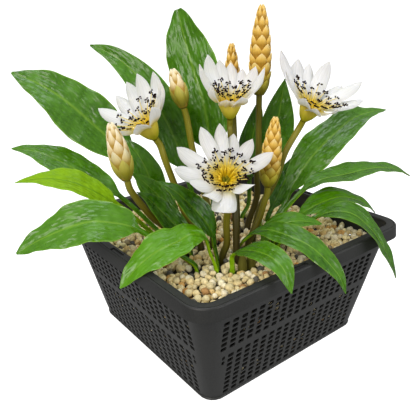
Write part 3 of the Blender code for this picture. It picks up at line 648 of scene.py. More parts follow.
# the layer seen through the holes of each wall, some of it a little way back
wall_places, wall_radii = [], []
for quarter in range(4):
    for x, up, radius in scatter(chance, tries=5200, width=86.0, height=33.0, spacing=1.02):
        z = 37.0 + up
        reach = wall_half(z) - WALL_THICKNESS
        if abs(x) > reach - radius - 0.6 or z < WALL_THICKNESS + radius:
            continue
        depth = radius * 1.2 + 0.2 + abs(chance.normal(0, 1.6))
        if not within_walls(x, depth - reach, z - 1.5, radius * 1.15):
            continue
        wall_places.append(turned_point(x, depth - reach, z, quarter))
        wall_radii.append(radius)
# most pellets behind the walls get painted shade, so that the holes show dark
beside = pellets("gravel_at_walls", np.array(wall_places), np.array(wall_radii), 2, chance, [fired_clay],
                 PAINTED_SHADE_AT_WALLS)
for piece in (bed, upper, lower, beside):
    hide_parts("gravel")
    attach(piece, "root")


# The leaves: 21 long blades on channelled stalks, all rising from the crown. Each is one thin living sheet
# with a sunken midrib, folded a little along it, and its margins lie in slow waves.
STEM_FOOT_RADIUS = 2.6
PETIOLE_RADIUS = 1.9
SOCKET_DEPTH = 11.0
GAP = 0.3
BLADE_THICKNESS = 0.55
PETIOLE_STATIONS = 14
BLADE_STATIONS = 54
BLADE_COLUMNS = 19
LEAF_SAMPLES = 160
FOOT_TAPER = 0.15
BLADE_OPENING = 0.12
LEAST_THICKNESS = 0.12
MAP_SCALE = 0.01
# A leaf stands at base, grows in the upright plane of its heading and passes through path, whose pairs
# are reach along the heading and height over the gravel. Its foot tapers over the share FOOT_TAPER of its
# length, its blade begins at blade_start and opens flat over the share BLADE_OPENING of the blade. The
# roll tips the blade sideways, in degrees, and a small belly moves its widest part towards its foot.
Leaf = namedtuple("Leaf", "name base heading blade_start width roll belly path")
LEAVES = (
    Leaf("leaf_upper_left", (-24, 22), 135, 0.42, 42, -50, 0.85,
         ((4, 20), (12, 38), (24, 52), (41, 66), (56, 79), (73, 95), (86, 106), (102, 116), (121, 124))),
    Leaf("leaf_curled_back", (-14, 16), 125, 0.32, 30, -60, 0.65,
         ((1, 18), (6, 43), (15, 73), (28, 100), (36, 113), (49, 126), (62, 135), (78, 141))),
    Leaf("leaf_tall_back", (3, 21), 92, 0.38, 46, -60, 0.80,
         ((-4, 22), (-4, 55), (4, 96), (15, 120), (26, 146), (32, 164))),
    Leaf("leaf_back_small", (32, 15), -37, 0.38, 22, 50, 0.90,
         ((5, 11), (6, 42), (8, 66), (11, 82), (14, 99))),
    Leaf("leaf_back_right", (34, -4), -20, 0.42, 27, 70, 0.85,
         ((5, 20), (8, 49), (13, 76), (16, 95), (19, 114))),
    Leaf("leaf_right_big", (28, -22), -10, 0.26, 31, 30, 0.80,
         ((7, 13), (14, 22), (20, 34), (28, 45), (41, 58), (58, 70), (75, 80), (95, 84), (112, 84))),
    Leaf("leaf_right_level", (18, -36), -20, 0.35, 24, 10, 0.80,
         ((5, 19), (14, 30), (23, 38), (36, 44), (57, 46), (83, 48), (102, 45), (116, 38))),
    Leaf("leaf_right_arched", (6, -36), -24, 0.38, 24, 14, 0.85,
         ((14, 10), (32, 23), (45, 29), (61, 32), (75, 28), (85, 22), (91, 16))),
    Leaf("leaf_right_draping", (13, -45), -50, 0.35, 22, 15, 0.80,
         ((9, 13), (28, 27), (39, 31), (50, 30), (62, 21), (70, 11), (78, -3), (84, -17))),
    Leaf("leaf_right_low", (-6, -47), -38, 0.30, 18, 20, 0.85,
         ((5, 20), (20, 26), (33, 26), (42, 24))),
    Leaf("leaf_front_right", (-14, -31), -77, 0.25, 19, 20, 0.85,
         ((12, 17), (24, 24), (43, 24), (58, 21), (70, 14), (79, 6), (84, -4))),
    Leaf("leaf_front_small", (-34, -50), -93, 0.28, 20, 12, 0.85,
         ((0, 11), (13, 20), (35, 25), (48, 22), (56, 9))),
    Leaf("leaf_front_left", (-42, -43), 167, 0.33, 26, -25, 0.85,
         ((4, 14), (8, 26), (18, 30), (26, 27), (39, 24), (49, 19), (59, 11), (66, 4))),
    Leaf("leaf_left_low", (-51, -33), 150, 0.40, 32, -38, 0.80,
         ((10, 11), (20, 20), (30, 27), (42, 35), (52, 38), (65, 40), (77, 38), (89, 34), (101, 29),
          (114, 22))),
    Leaf("leaf_left_pale", (-51, 1), 145, 0.45, 24, -20, 0.80,
         ((8, 12), (19, 24), (31, 36), (42, 44), (51, 50), (61, 55), (72, 58), (84, 59), (101, 57))),
    Leaf("leaf_left_middle", (-43, 9), 131, 0.40, 27, -25, 0.85,
         ((12, 13), (27, 28), (40, 39), (56, 48), (69, 56), (79, 61), (92, 67), (104, 70), (119, 71))),
    Leaf("leaf_left_inner", (-31, 14), 125, 0.35, 22, -45, 0.85,
         ((10, 10), (17, 25), (21, 40), (25, 53), (32, 66), (43, 77))),
    Leaf("leaf_left_short", (-31, 1), 140, 0.35, 18, -40, 0.85,
         ((11, 18), (19, 34), (29, 46), (41, 57))),
    Leaf("leaf_left_upright", (-41, -13), 150, 0.30, 20, -40, 0.75,
         ((5, 17), (14, 28), (22, 38), (28, 45), (35, 50))),
    Leaf("leaf_centre_left", (-35, -36), 155, 0.33, 20, -45, 0.75,
         ((2, 12), (4, 24), (10, 35), (18, 45), (27, 55), (38, 63))),
    Leaf("leaf_right_inner", (37, -12), 10, 0.30, 18, 40, 0.85,
         ((-2, 7), (10, 21), (21, 33), (32, 43), (42, 54))),
)
# How each blade lies: its twist from foot to tip and its fold in degrees, the height of its waves in
# millimetres and how many there are, how light its green is and how blunt its tip, both from 0 to 1.
Habit = namedtuple("Habit", "twist fold wave waves light blunt")
HABITS = {
    "leaf_upper_left": Habit(10, 10, 1.6, 2.4, 0.35, 0.3),
    "leaf_curled_back": Habit(0, 14, 1.0, 1.8, 0.35, 0.3),
    "leaf_tall_back": Habit(0, 8, 2.2, 2.6, 0.45, 0.55),
    "leaf_back_small": Habit(0, 10, 0.8, 1.5, 0.30, 0.1),
    "leaf_back_right": Habit(0, 10, 1.0, 1.8, 0.35, 0.1),
    "leaf_right_big": Habit(-6, 9, 1.4, 2.8, 0.40, 0.25),
    "leaf_right_level": Habit(0, 12, 0.9, 2.4, 0.35, 0.5),
    "leaf_right_arched": Habit(0, 10, 0.8, 2.0, 0.45, 0.35),
    "leaf_right_draping": Habit(0, 12, 0.8, 2.0, 0.25, 0.4),
    "leaf_right_low": Habit(0, 10, 0.6, 1.5, 0.45, 0.35),
    "leaf_front_right": Habit(0, 10, 0.8, 2.2, 0.25, 0.25),
    "leaf_front_small": Habit(0, 12, 0.6, 2.0, 0.40, 0.25),
    "leaf_front_left": Habit(0, 8, 1.3, 2.4, 0.75, 0.25),
    "leaf_left_low": Habit(0, 9, 1.4, 2.6, 0.50, 0.3),
    "leaf_left_pale": Habit(0, 12, 0.8, 2.2, 0.50, 0.1),
    "leaf_left_middle": Habit(0, 10, 1.0, 2.5, 0.45, 0.25),
    "leaf_left_inner": Habit(0, 10, 0.8, 1.8, 0.35, 0.1),
    "leaf_left_short": Habit(0, 10, 0.6, 1.5, 0.35, 0.1),
    "leaf_left_upright": Habit(0, 14, 0.5, 1.5, 0.10, 0.1),
    "leaf_centre_left": Habit(0, 14, 0.5, 1.5, 0.05, 0.1),
    "leaf_right_inner": Habit(0, 12, 0.5, 1.5, 0.20, 0.1),
}


def unit(heading, elevation=0.0):
    """The direction of a compass heading from +X and an elevation, in degrees."""
    turn, tilt = math.radians(heading), math.radians(elevation)
    return Vector((math.cos(turn) * math.cos(tilt), math.sin(turn) * math.cos(tilt), math.sin(tilt)))


def smooth_path(points, count):
    """A centripetal spline through points, sampled at count even steps."""
    points = [points[0] * 2 - points[1]] + points + [points[-1] * 2 - points[-2]]
    dense = []
    for p0, p1, p2, p3 in zip(points, points[1:], points[2:], points[3:]):
        t1 = (p1 - p0).length ** 0.5
        t2 = t1 + (p2 - p1).length ** 0.5
        t3 = t2 + (p3 - p2).length ** 0.5
        for step in range(12):
            t = t1 + (t2 - t1) * step / 12
            a1 = p0.lerp(p1, t / t1)
            a2 = p1.lerp(p2, (t - t1) / (t2 - t1))
            a3 = p2.lerp(p3, (t - t2) / (t3 - t2))
            b1 = a1.lerp(a2, t / t2)
            b2 = a2.lerp(a3, (t - t1) / (t3 - t1))
            dense.append(b1.lerp(b2, (t - t1) / (t2 - t1)))
    dense.append(points[-2])
    lengths = [0.0]
    for a, b in zip(dense, dense[1:]):
        lengths.append(lengths[-1] + (b - a).length)
    samples = []
    k = 0
    for i in range(count):
        goal = lengths[-1] * i / (count - 1)
        while k < len(dense) - 2 and lengths[k + 1] < goal:
            k += 1
        share = (goal - lengths[k]) / max(lengths[k + 1] - lengths[k], 1e-9)
        samples.append(dense[k].lerp(dense[k + 1], share))
    return samples


def stem_line(base, heading, path, count, end=()):
    """Points from a stem's foot in the gravel up through its path and then its end."""
    foot = Vector((base[0], base[1], GRAVEL_TOP))
    points = [foot + Vector((0, 0, GAP - SOCKET_DEPTH)), foot + Vector((0, 0, 1.5))]
    for reach, height in path:
        points.append(foot + unit(heading) * reach + Vector((0, 0, height)))
    return smooth_path(points + list(end), count)


def tangents(line):
    """The direction of a line at each of its points."""
    ends = [line[0] * 2 - line[1]] + line + [line[-1] * 2 - line[-2]]
    return [(b - a).normalized() for a, b in zip(ends, ends[2:])]


def grid_sheet(rows, backs, places, back_kind):
    """A closed thin sheet from rows of front points, rows of back points and the map's places; its back
    takes the material numbered back_kind."""
    across = len(rows[0])
    points = [p for row in rows for p in row] + [p for row in backs for p in row]
    under = len(rows) * across
    faces, kinds = [], []
    for k in range(len(rows) - 1):
        for i in range(across - 1):
            a = k * across + i
            faces.append((a, a + 1, a + across + 1, a + across))
            kinds.append(0)
            faces.append((under + a, under + a + across, under + a + across + 1, under + a + 1))
            kinds.append(back_kind)
        for a, flip in ((k * across, False), (k * across + across - 1, True)):
            edge = (a, a + across, under + a + across, under + a)
            faces.append(tuple(reversed(edge)) if flip else edge)
            kinds.append(0)
    for k, flip in ((0, True), (len(rows) - 1, False)):
        for i in range(across - 1):
            a = k * across + i
            edge = (a, a + 1, under + a + 1, under + a)
            faces.append(edge if flip else tuple(reversed(edge)))
            kinds.append(0)
    return points, faces, kinds, [uv for row in places for uv in row] * 2


def joined(name, sheets, materials, smooth_angle=60.0):
    """One object from several sheets, each given as points, faces, face materials, map and tone."""
    points, faces, kinds, places, tones = [], [], [], [], []
    for sheet_points, sheet_faces, sheet_kinds, sheet_places, tone in sheets:
        start = len(points)
        points += sheet_points
        faces += [tuple(start + i for i in face) for face in sheet_faces]
        kinds += sheet_kinds
        places += sheet_places
        tones += [tone] * len(sheet_points)
    obj = solid(name, points, faces, materials, kinds, smooth_angle)
    mesh = obj.data
    shares = mesh.uv_layers.new(name="shares")
    lengths = mesh.uv_layers.new(name="millimetres")
    corners = np.zeros(len(mesh.loops), np.int32)
    mesh.loops.foreach_get("vertex_index", corners)
    table = np.array(places, np.float32)[corners]
    shares.data.foreach_set("uv", table[:, :2].ravel())
    lengths.data.foreach_set("uv", table[:, 2:].ravel())
    layer = mesh.attributes.new("tone", "FLOAT", "POINT")
    layer.data.foreach_set("value", np.array(tones, np.float32))
    return obj


def blade_width(share, belly, blunt):
    """How wide a blade is at a share of its length; a small belly moves the widest part to its foot."""
    wide = math.sin(math.pi * share ** belly)
    return wide ** (1 - blunt * share) * (1 - 0.12 * share ** 4)


def leaf_sheet(leaf, habit):
    """The rows of one leaf, from a round channelled stalk to a thin folded blade."""
    line = stem_line(leaf.base, leaf.heading, leaf.path, LEAF_SAMPLES)
    directions = tangents(line)
    length = sum((b - a).length for a, b in zip(line, line[1:]))
    along = [leaf.blade_start * i / PETIOLE_STATIONS for i in range(PETIOLE_STATIONS)]
    along += [leaf.blade_start + (1 - leaf.blade_start) * (i / (BLADE_STATIONS - 1)) ** 0.95
              for i in range(BLADE_STATIONS)]
    phase = (leaf.base[0] * 0.37 + leaf.base[1] * 0.21) % math.tau
    fronts, backs, places = [], [], []
    for share in along:
        place = share * (len(line) - 1)
        sample = min(int(place), len(line) - 2)
        point = line[sample].lerp(line[sample + 1], place - sample)
        ahead = directions[sample].lerp(directions[sample + 1], place - sample).normalized()
        blade = max(0.0, (share - leaf.blade_start) / (1 - leaf.blade_start))
        roll = leaf.roll * min(1.0, share / leaf.blade_start) + habit.twist * blade
        side = Matrix.Rotation(math.radians(roll), 3, ahead) @ unit(leaf.heading + 90)
        side = (side - ahead * side.dot(ahead)).normalized()
        face = ahead.cross(side)
        radius = PETIOLE_RADIUS + (STEM_FOOT_RADIUS - PETIOLE_RADIUS) * max(0.0, 1 - share / FOOT_TAPER)
        half = max(leaf.width * 0.5 * blade_width(min(blade, 0.994), leaf.belly, habit.blunt), 0.35)
        flat = min(1.0, blade / BLADE_OPENING)
        flat = flat * flat * (3 - 2 * flat)
        half = max(half, radius * (1 - flat))
        slope = math.tan(math.radians(habit.fold))
        turns = math.tau * habit.waves
        front, behind, mapped = [], [], []
        for i in range(BLADE_COLUMNS):
            s = 2 * i / (BLADE_COLUMNS - 1) - 1
            ripple = habit.wave * s * s * math.sin(turns * blade + phase + (1.9 if s > 0 else 0.0))
            ripple += 0.35 * habit.wave * s * s * math.sin(turns * 2.7 * blade + phase * 2 + 3 * s)
            ripple *= min(1.0, half / 8)
            fold = slope * half * (abs(s) - 0.28 * s * s) + ripple
            rib = math.exp(-(s * half / 0.9) ** 2)
            thin = BLADE_THICKNESS * 0.5 * (1 - abs(s) ** 6 * 0.7)
            blade_front = fold + thin - 0.25 * rib
            blade_back = fold - thin - 0.9 * rib * (1 - 0.7 * blade)
            bend = s * math.pi / 2
            stalk_front = radius * (0.30 - 0.55 * math.cos(bend) ** 2)
            stalk_back = -radius * math.cos(bend) * 0.95 + radius * 0.12
            x = s * half * flat + radius * math.sin(bend) * (1 - flat)
            high = blade_front * flat + stalk_front * (1 - flat)
            low = min(blade_back * flat + stalk_back * (1 - flat), high - LEAST_THICKNESS)
            front.append(point + side * x + face * high)
            behind.append(point + side * x + face * low)
            mapped.append((s * 0.5 + 0.5, blade if blade > 0 else (share - leaf.blade_start) * 0.5,
                           x * MAP_SCALE, share * length * MAP_SCALE))
        fronts.append(front)
        backs.append(behind)
        places.append(mapped)
    return fronts, backs, places


# A living leaf with a waxy skin: a deep green that glances bluish white, in 11 mm patches and where the
# blade buckles between its veins, which run along it 3 mm apart with slanting ones 5 to 6 mm apart. All
# its patterns use the millimetres map, where 1 is 100 mm.
def leaf_material(name, dark, bright, vein, edge, roughness, vein_depth, gloss):
    made, tree, shader = new_material(name)
    shares = add(tree, "ShaderNodeUVMap", {}, uv_map="shares")
    lengths = add(tree, "ShaderNodeUVMap", {}, uv_map="millimetres")
    tone = add(tree, "ShaderNodeAttribute", {}, attribute_name="tone")
    split = add(tree, "ShaderNodeSeparateXYZ", {0: shares.outputs["UV"]})
    mottle = add(tree, "ShaderNodeTexNoise", {"Vector": lengths.outputs["UV"], "Scale": 9.0, "Detail": 4.0,
                                              "Roughness": 0.6})
    patch = add(tree, "ShaderNodeMath", {0: mottle.outputs["Fac"], 1: 0.9}, operation="MULTIPLY")
    light = add(tree, "ShaderNodeMath", {0: tone.outputs["Fac"], 1: patch.outputs[0]}, operation="ADD")
    light = add(tree, "ShaderNodeMath", {0: light.outputs[0], 1: 0.35}, operation="SUBTRACT", use_clamp=True)
    flesh = add(tree, "ShaderNodeMix", {0: light.outputs[0], 6: linear(dark), 7: linear(bright)},
                data_type="RGBA")
    # distance from the midrib, 0 at the rib and 1 at the margin
    away = add(tree, "ShaderNodeMath", {0: split.outputs["X"], 1: 0.5}, operation="SUBTRACT")
    away = add(tree, "ShaderNodeMath", {0: away.outputs[0]}, operation="ABSOLUTE")
    away = add(tree, "ShaderNodeMath", {0: away.outputs[0], 1: 2.0}, operation="MULTIPLY")
    rib = add(tree, "ShaderNodeMapRange", {"Value": away.outputs[0], "From Min": 0.02, "From Max": 0.07,
                                           "To Min": 1.0, "To Max": 0.0})
    margin = add(tree, "ShaderNodeMapRange", {"Value": away.outputs[0], "From Min": 0.93, "From Max": 1.0})
    # veins as fine bands along the blade, bent by a slow noise, and the slanting ones across them
    stretch = add(tree, "ShaderNodeMapping", {"Vector": lengths.outputs["UV"], "Scale": (62.0, 3.0, 1.0)})
    bands = add(tree, "ShaderNodeTexWave",
                {"Vector": stretch.outputs["Vector"], "Scale": 0.16, "Distortion": 1.2, "Detail": 1.0},
                wave_type="BANDS", bands_direction="X")
    slant = add(tree, "ShaderNodeMapping", {"Vector": lengths.outputs["UV"], "Rotation": (0, 0, 0.9),
                                            "Scale": (20.0, 60.0, 1.0)})
    cross = add(tree, "ShaderNodeTexWave",
                {"Vector": slant.outputs["Vector"], "Scale": 0.14, "Distortion": 3.0, "Detail": 2.0},
                wave_type="BANDS", bands_direction="Y")
    veins = add(tree, "ShaderNodeMath", {0: bands.outputs["Fac"], 1: cross.outputs["Fac"]},
                operation="MULTIPLY")
    veined = add(tree, "ShaderNodeMath", {0: veins.outputs[0], 1: 0.30}, operation="MULTIPLY")
    colour = add(tree, "ShaderNodeMix", {0: veined.outputs[0], 6: flesh.outputs[2], 7: linear(bright)},
                 data_type="RGBA")
    ribbed = add(tree, "ShaderNodeMath", {0: rib.outputs["Result"], 1: 0.6}, operation="MULTIPLY")
    colour = add(tree, "ShaderNodeMix", {0: ribbed.outputs[0], 6: colour.outputs[2], 7: linear(vein)},
                 data_type="RGBA")
    edged = add(tree, "ShaderNodeMath", {0: margin.outputs["Result"], 1: 0.6}, operation="MULTIPLY")
    colour = add(tree, "ShaderNodeMix", {0: edged.outputs[0], 6: colour.outputs[2], 7: linear(edge)},
                 data_type="RGBA")
    wax = add(tree, "ShaderNodeMapRange", {"Value": mottle.outputs["Fac"], "From Min": 0.3, "From Max": 0.7,
                                           "To Min": roughness - 0.10, "To Max": roughness + 0.18})
    # the buckled skin, in lumps about 4 mm across and 14 mm along
    drawn = add(tree, "ShaderNodeMapping", {"Vector": lengths.outputs["UV"], "Rotation": (0, 0, 0.35),
                                            "Scale": (26.0, 7.0, 1.0)})
    buckle = add(tree, "ShaderNodeTexNoise", {"Vector": drawn.outputs["Vector"], "Scale": 1.0, "Detail": 1.0})
    fine = add(tree, "ShaderNodeBump",
               {"Height": veins.outputs[0], "Strength": vein_depth, "Distance": 0.0004})
    broad = add(tree, "ShaderNodeBump", {"Height": buckle.outputs["Fac"], "Strength": 0.7, "Distance": 0.0028,
                                         "Normal": fine.outputs["Normal"]})
    wire(tree, shader, {"Base Color": colour.outputs[2], "Roughness": wax.outputs["Result"],
                        "Normal": broad.outputs["Normal"], "IOR": 1.45, "Specular IOR Level": gloss})
    return made


leaf_top = leaf_material("leaf_waxy_upper_skin", "#1a4600", "#569200", "#76a228", "#84b02c", 0.28, 0.5, 0.5)
leaf_back = leaf_material("leaf_matt_underside", "#5c8a00", "#90bc08", "#a8c050", "#9cc040", 0.50, 0.8, 0.2)
leaf_young = leaf_material("leaf_young_lime_skin", "#568600", "#88b400", "#4c7c08", "#9cc040", 0.50, 0.8, 0.2)
for leaf in LEAVES:
    habit = HABITS[leaf.name]
    fronts, backs, places = leaf_sheet(leaf, habit)
    skins = [leaf_young if leaf.name == "leaf_left_pale" else leaf_top, leaf_back]
    sheet = grid_sheet(fronts, backs, places, 1)
    blade = joined("blade_" + leaf.name[5:], [sheet + (habit.light,)], skins)
    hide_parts(leaf.name)
    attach(blade, "root")


# The flower stalks: nine round, juicy stems with five faint ridges, olive and brown at the foot and
# yellower towards the flower. Each ends in a short straight piece that looks the way its head does.
STALK_RADIUS = 2.5
STALK_SIDES = 20
STALK_STATIONS = 40
STALK_RIDGES = 5
STALK_RIDGE = 0.03
CUP_STEM = 6.0
# A stalk's base, heading and path are like a leaf's; light is how yellow its skin is, from 0 to 1.
Stalk = namedtuple("Stalk", "name base heading light path")
STALKS = (
    Stalk("stalk_tall_bud", (22, -3), -37, 0.15, ((7, 25), (7, 47), (8, 63), (8, 78), (8, 104))),
    Stalk("stalk_top_flower", (-20, -38), 57, 0.05, ((1, 12), (4, 31), (14, 53), (24, 77), (30, 92))),
    Stalk("stalk_back_bud", (12, -2), 60, 0.1, ((2, 20), (5, 40), (8, 59), (11, 75), (14, 92))),
    Stalk("stalk_front_flower", (-27, -31), 143, 0.3, ((-3, 10), (-3, 25), (-4, 39), (-3, 53))),
    Stalk("stalk_left_flower", (-29, -8), 150, 0.3, ((12, 32), (16, 47), (20, 60), (23, 70), (28, 83))),
    Stalk("stalk_closed_bud", (-17, -8), 125, 0.35, ((3, 23), (5, 35), (10, 54), (14, 72), (19, 100))),
    Stalk("stalk_left_bud", (-40, -3), 175, 0.1, ((12, 19), (23, 30), (30, 40), (35, 48), (40, 61))),
    Stalk("stalk_small_bud", (-3, -31), -30, 0.2, ((9, 25), (12, 36), (14, 46))),
    Stalk("stalk_right_flower", (6, -26), -20, 0.3,
          ((2, 12), (7, 29), (14, 40), (19, 50), (25, 67), (38, 88))),
)


def closed_rings(rings, sides):
    """The faces of a form made of rings, closed at both ends, and the first material for each of them."""
    last = (rings - 1) * sides
    faces = ring_faces(rings, sides) + [tuple(reversed(range(sides))), tuple(range(last, last + sides))]
    return faces, [0] * len(faces)


def tube(line, radii, sides, lobes=0, lobe=0.0):
    """A closed tube along a line as points, faces, face materials and a map in shares and millimetres."""
    directions = tangents(line)
    side = directions[0].orthogonal().normalized()
    points, places = [], []
    run = 0.0
    for k, (point, ahead) in enumerate(zip(line, directions)):
        side = (side - ahead * side.dot(ahead)).normalized()
        face = ahead.cross(side)
        run += (point - line[k - 1]).length if k else 0.0
        for i in range(sides):
            turn = math.tau * i / sides
            radius = radii[k] * (1 + lobe * math.cos(lobes * turn))
            points.append(point + (side * math.cos(turn) + face * math.sin(turn)) * radius)
            places.append((i / sides, k / (len(line) - 1),
                           i / sides * math.tau * radii[k] * MAP_SCALE, run * MAP_SCALE))
    return (points, *closed_rings(len(line), sides), places)


# A water plant's stalk: smooth and faintly glossy, with streaks 0.5 mm wide along it where its channels
# show through.
stem_skin, tree, shader = new_material("stalk_smooth_skin")
shares = add(tree, "ShaderNodeUVMap", {}, uv_map="shares")
tone = add(tree, "ShaderNodeAttribute", {}, attribute_name="tone")
split = add(tree, "ShaderNodeSeparateXYZ", {0: shares.outputs["UV"]})
stretch = add(tree, "ShaderNodeMapping", {"Vector": shares.outputs["UV"], "Scale": (34.0, 2.2, 1.0)})
streak = add(tree, "ShaderNodeTexNoise", {"Vector": stretch.outputs["Vector"], "Scale": 1.0, "Detail": 3.0})
height = add(tree, "ShaderNodeMath", {0: split.outputs["Y"], 1: 0.75}, operation="MULTIPLY")
height = add(tree, "ShaderNodeMath", {0: height.outputs[0], 1: tone.outputs["Fac"]}, operation="ADD")
ramp = add(tree, "ShaderNodeValToRGB", {"Fac": height.outputs[0]})
ramp.color_ramp.elements[0].position = 0.05
ramp.color_ramp.elements[0].color = linear("#302604")
ramp.color_ramp.elements[1].position = 1.0
ramp.color_ramp.elements[1].color = linear("#8e8810")
ramp.color_ramp.elements.new(0.45).color = linear("#4c4606")
lines = add(tree, "ShaderNodeMapRange", {"Value": streak.outputs["Fac"], "From Min": 0.35, "From Max": 0.65,
                                         "To Min": 0.72, "To Max": 1.18})
streaked = add(tree, "ShaderNodeMix", {0: 1.0, 6: ramp.outputs["Color"], 7: lines.outputs["Result"]},
               data_type="RGBA", blend_type="MULTIPLY")
gloss = add(tree, "ShaderNodeMapRange", {"Value": streak.outputs["Fac"], "To Min": 0.34, "To Max": 0.55})
bump = add(tree, "ShaderNodeBump", {"Height": streak.outputs["Fac"], "Strength": 0.4, "Distance": 0.0004})
wire(tree, shader, {"Base Color": streaked.outputs[2], "Roughness": gloss.outputs["Result"],
                    "Normal": bump.outputs["Normal"]})

# Where each head looks: heading and elevation of its axis, in degrees
HEAD_AXES = {
    "stalk_front_flower": (-128, 46), "stalk_left_flower": (175, 58), "stalk_top_flower": (-127, 78),
    "stalk_right_flower": (-75, 62), "stalk_tall_bud": (-37, 89), "stalk_back_bud": (90, 88),
    "stalk_small_bud": (-37, 85), "stalk_left_bud": (160, 79), "stalk_closed_bud": (143, 76)}
seats = {}
for stalk in STALKS:
    axis = unit(*HEAD_AXES[stalk.name])
    top = Vector((stalk.base[0], stalk.base[1], GRAVEL_TOP))
    top += unit(stalk.heading) * stalk.path[-1][0] + Vector((0, 0, stalk.path[-1][1]))
    line = stem_line(stalk.base, stalk.heading, stalk.path[:-1], STALK_STATIONS, [top - axis * CUP_STEM, top])
    radii = [STALK_RADIUS * (1 - 0.12 * k / STALK_STATIONS) + 0.25 * math.exp(-k / 3)
             for k in range(STALK_STATIONS)]
    skin = tube(line, radii, STALK_SIDES, STALK_RIDGES, STALK_RIDGE)
    stem = joined("stem_" + stalk.name[6:], [skin + (stalk.light,)], [stem_skin])
    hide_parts(stalk.name)
    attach(stem, "root")
    seats[stalk.name] = top + axis * (GAP + 0.1)


# The open flowers: each is a cup of overlapping fleshy petals, golden where they join and white above, with
# thread-like filaments inside that carry clusters of dark anthers, round a few green carpels.
CUP_LENGTH = 14.0
CUP_ANGLE = 32.0
MOUTH_HEIGHT = CUP_LENGTH * math.cos(math.radians(CUP_ANGLE))
MOUTH_RADIUS = CUP_LENGTH * math.sin(math.radians(CUP_ANGLE))
BOWL_WIDTH = 14.0
PETAL_FOOT = 1.6
PETAL_AT_MOUTH = 0.36
PETAL_SWELL = 0.14
PETAL_WIDEST = 0.45
PETAL_THICKNESS = 0.5
PETAL_STATIONS = 22
PETAL_COLUMNS = 11
PLAIN_TONE = 0.5
# A flower faces heading and elevation; each petal has its turn about the axis, its opening from the axis,
# its length past the cup, its width and how far it bows, as a share of its length. Half a petal's width is
# PETAL_FOOT at its foot, the share PETAL_AT_MOUTH of its width at the cup's mouth, and then half its width
# at the share PETAL_WIDEST of the way from there to its tip.
Flower = namedtuple("Flower", "name stalk heading elevation petals")
FLOWERS = (
    Flower("flower_front", "stalk_front_flower", -128, 46,
           ((25, 78, 27, 10.1, 0.06), (58, 95, 28, 10.4, 0.07), (80, 98, 29, 10.8, 0.03),
            (95, 80, 31, 9.7, 0.09), (115, 76, 31, 10.2, 0.04), (150, 74, 30, 11.5, 0.06),
            (180, 64, 28, 11.2, 0.06), (215, 42, 29, 10.9, 0.03), (242, 45, 26, 10.8, 0.09),
            (265, 58, 29, 15.5, 0.08), (305, 34, 30, 10.9, 0.03))),
    Flower("flower_left", "stalk_left_flower", 175, 58,
           ((10, 42, 20, 11.1, 0.07), (50, 38, 24, 10.2, 0.02), (88, 45, 24, 11.3, 0.06),
            (120, 58, 33, 11.0, 0.09), (138, 52, 34, 11.0, 0.09), (155, 60, 36, 10.4, 0.08),
            (172, 65, 34, 10.5, 0.09), (195, 65, 36, 11.3, 0.03), (235, 60, 14, 9.9, 0.04),
            (330, 46, 15, 11.4, 0.05))),
    Flower("flower_top", "stalk_top_flower", -127, 78,
           ((12, 37, 27, 10.8, 0.04), (48, 50, 27, 10.6, 0.05), (70, 60, 27, 10.3, 0.07),
            (86, 55, 30, 10.8, 0.09), (101, 50, 31, 10.9, 0.09), (117, 44, 34, 11.2, 0.1),
            (160, 30, 28, 10.9, 0.03), (210, 28, 14, 11.2, 0.1), (255, 34, 7, 11.3, 0.07),
            (275, 36, 6, 11.0, 0.04), (296, 44, 12, 11.2, 0.07), (335, 40, 24, 10.2, 0.03))),
    Flower("flower_right", "stalk_right_flower", -75, 62,
           ((0, 70, 33, 12.5, 0.1), (25, 55, 38, 12.0, 0.08), (42, 68, 37, 10.4, 0.03),
            (57, 65, 36, 15.0, 0.08), (85, 60, 39, 13.0, 0.02), (135, 50, 28, 10.8, 0.02),
            (185, 56, 20, 11.0, 0.05), (210, 60, 15, 11.3, 0.1), (265, 50, 13, 10.6, 0.1),
            (325, 65, 33, 10.3, 0.03), (342, 55, 38, 10.8, 0.02))),
)


def axis_frame(heading, elevation):
    """A head's axis and the two directions across it."""
    axis = unit(heading, elevation)
    across = unit(heading + 90)
    return axis, across, axis.cross(across)


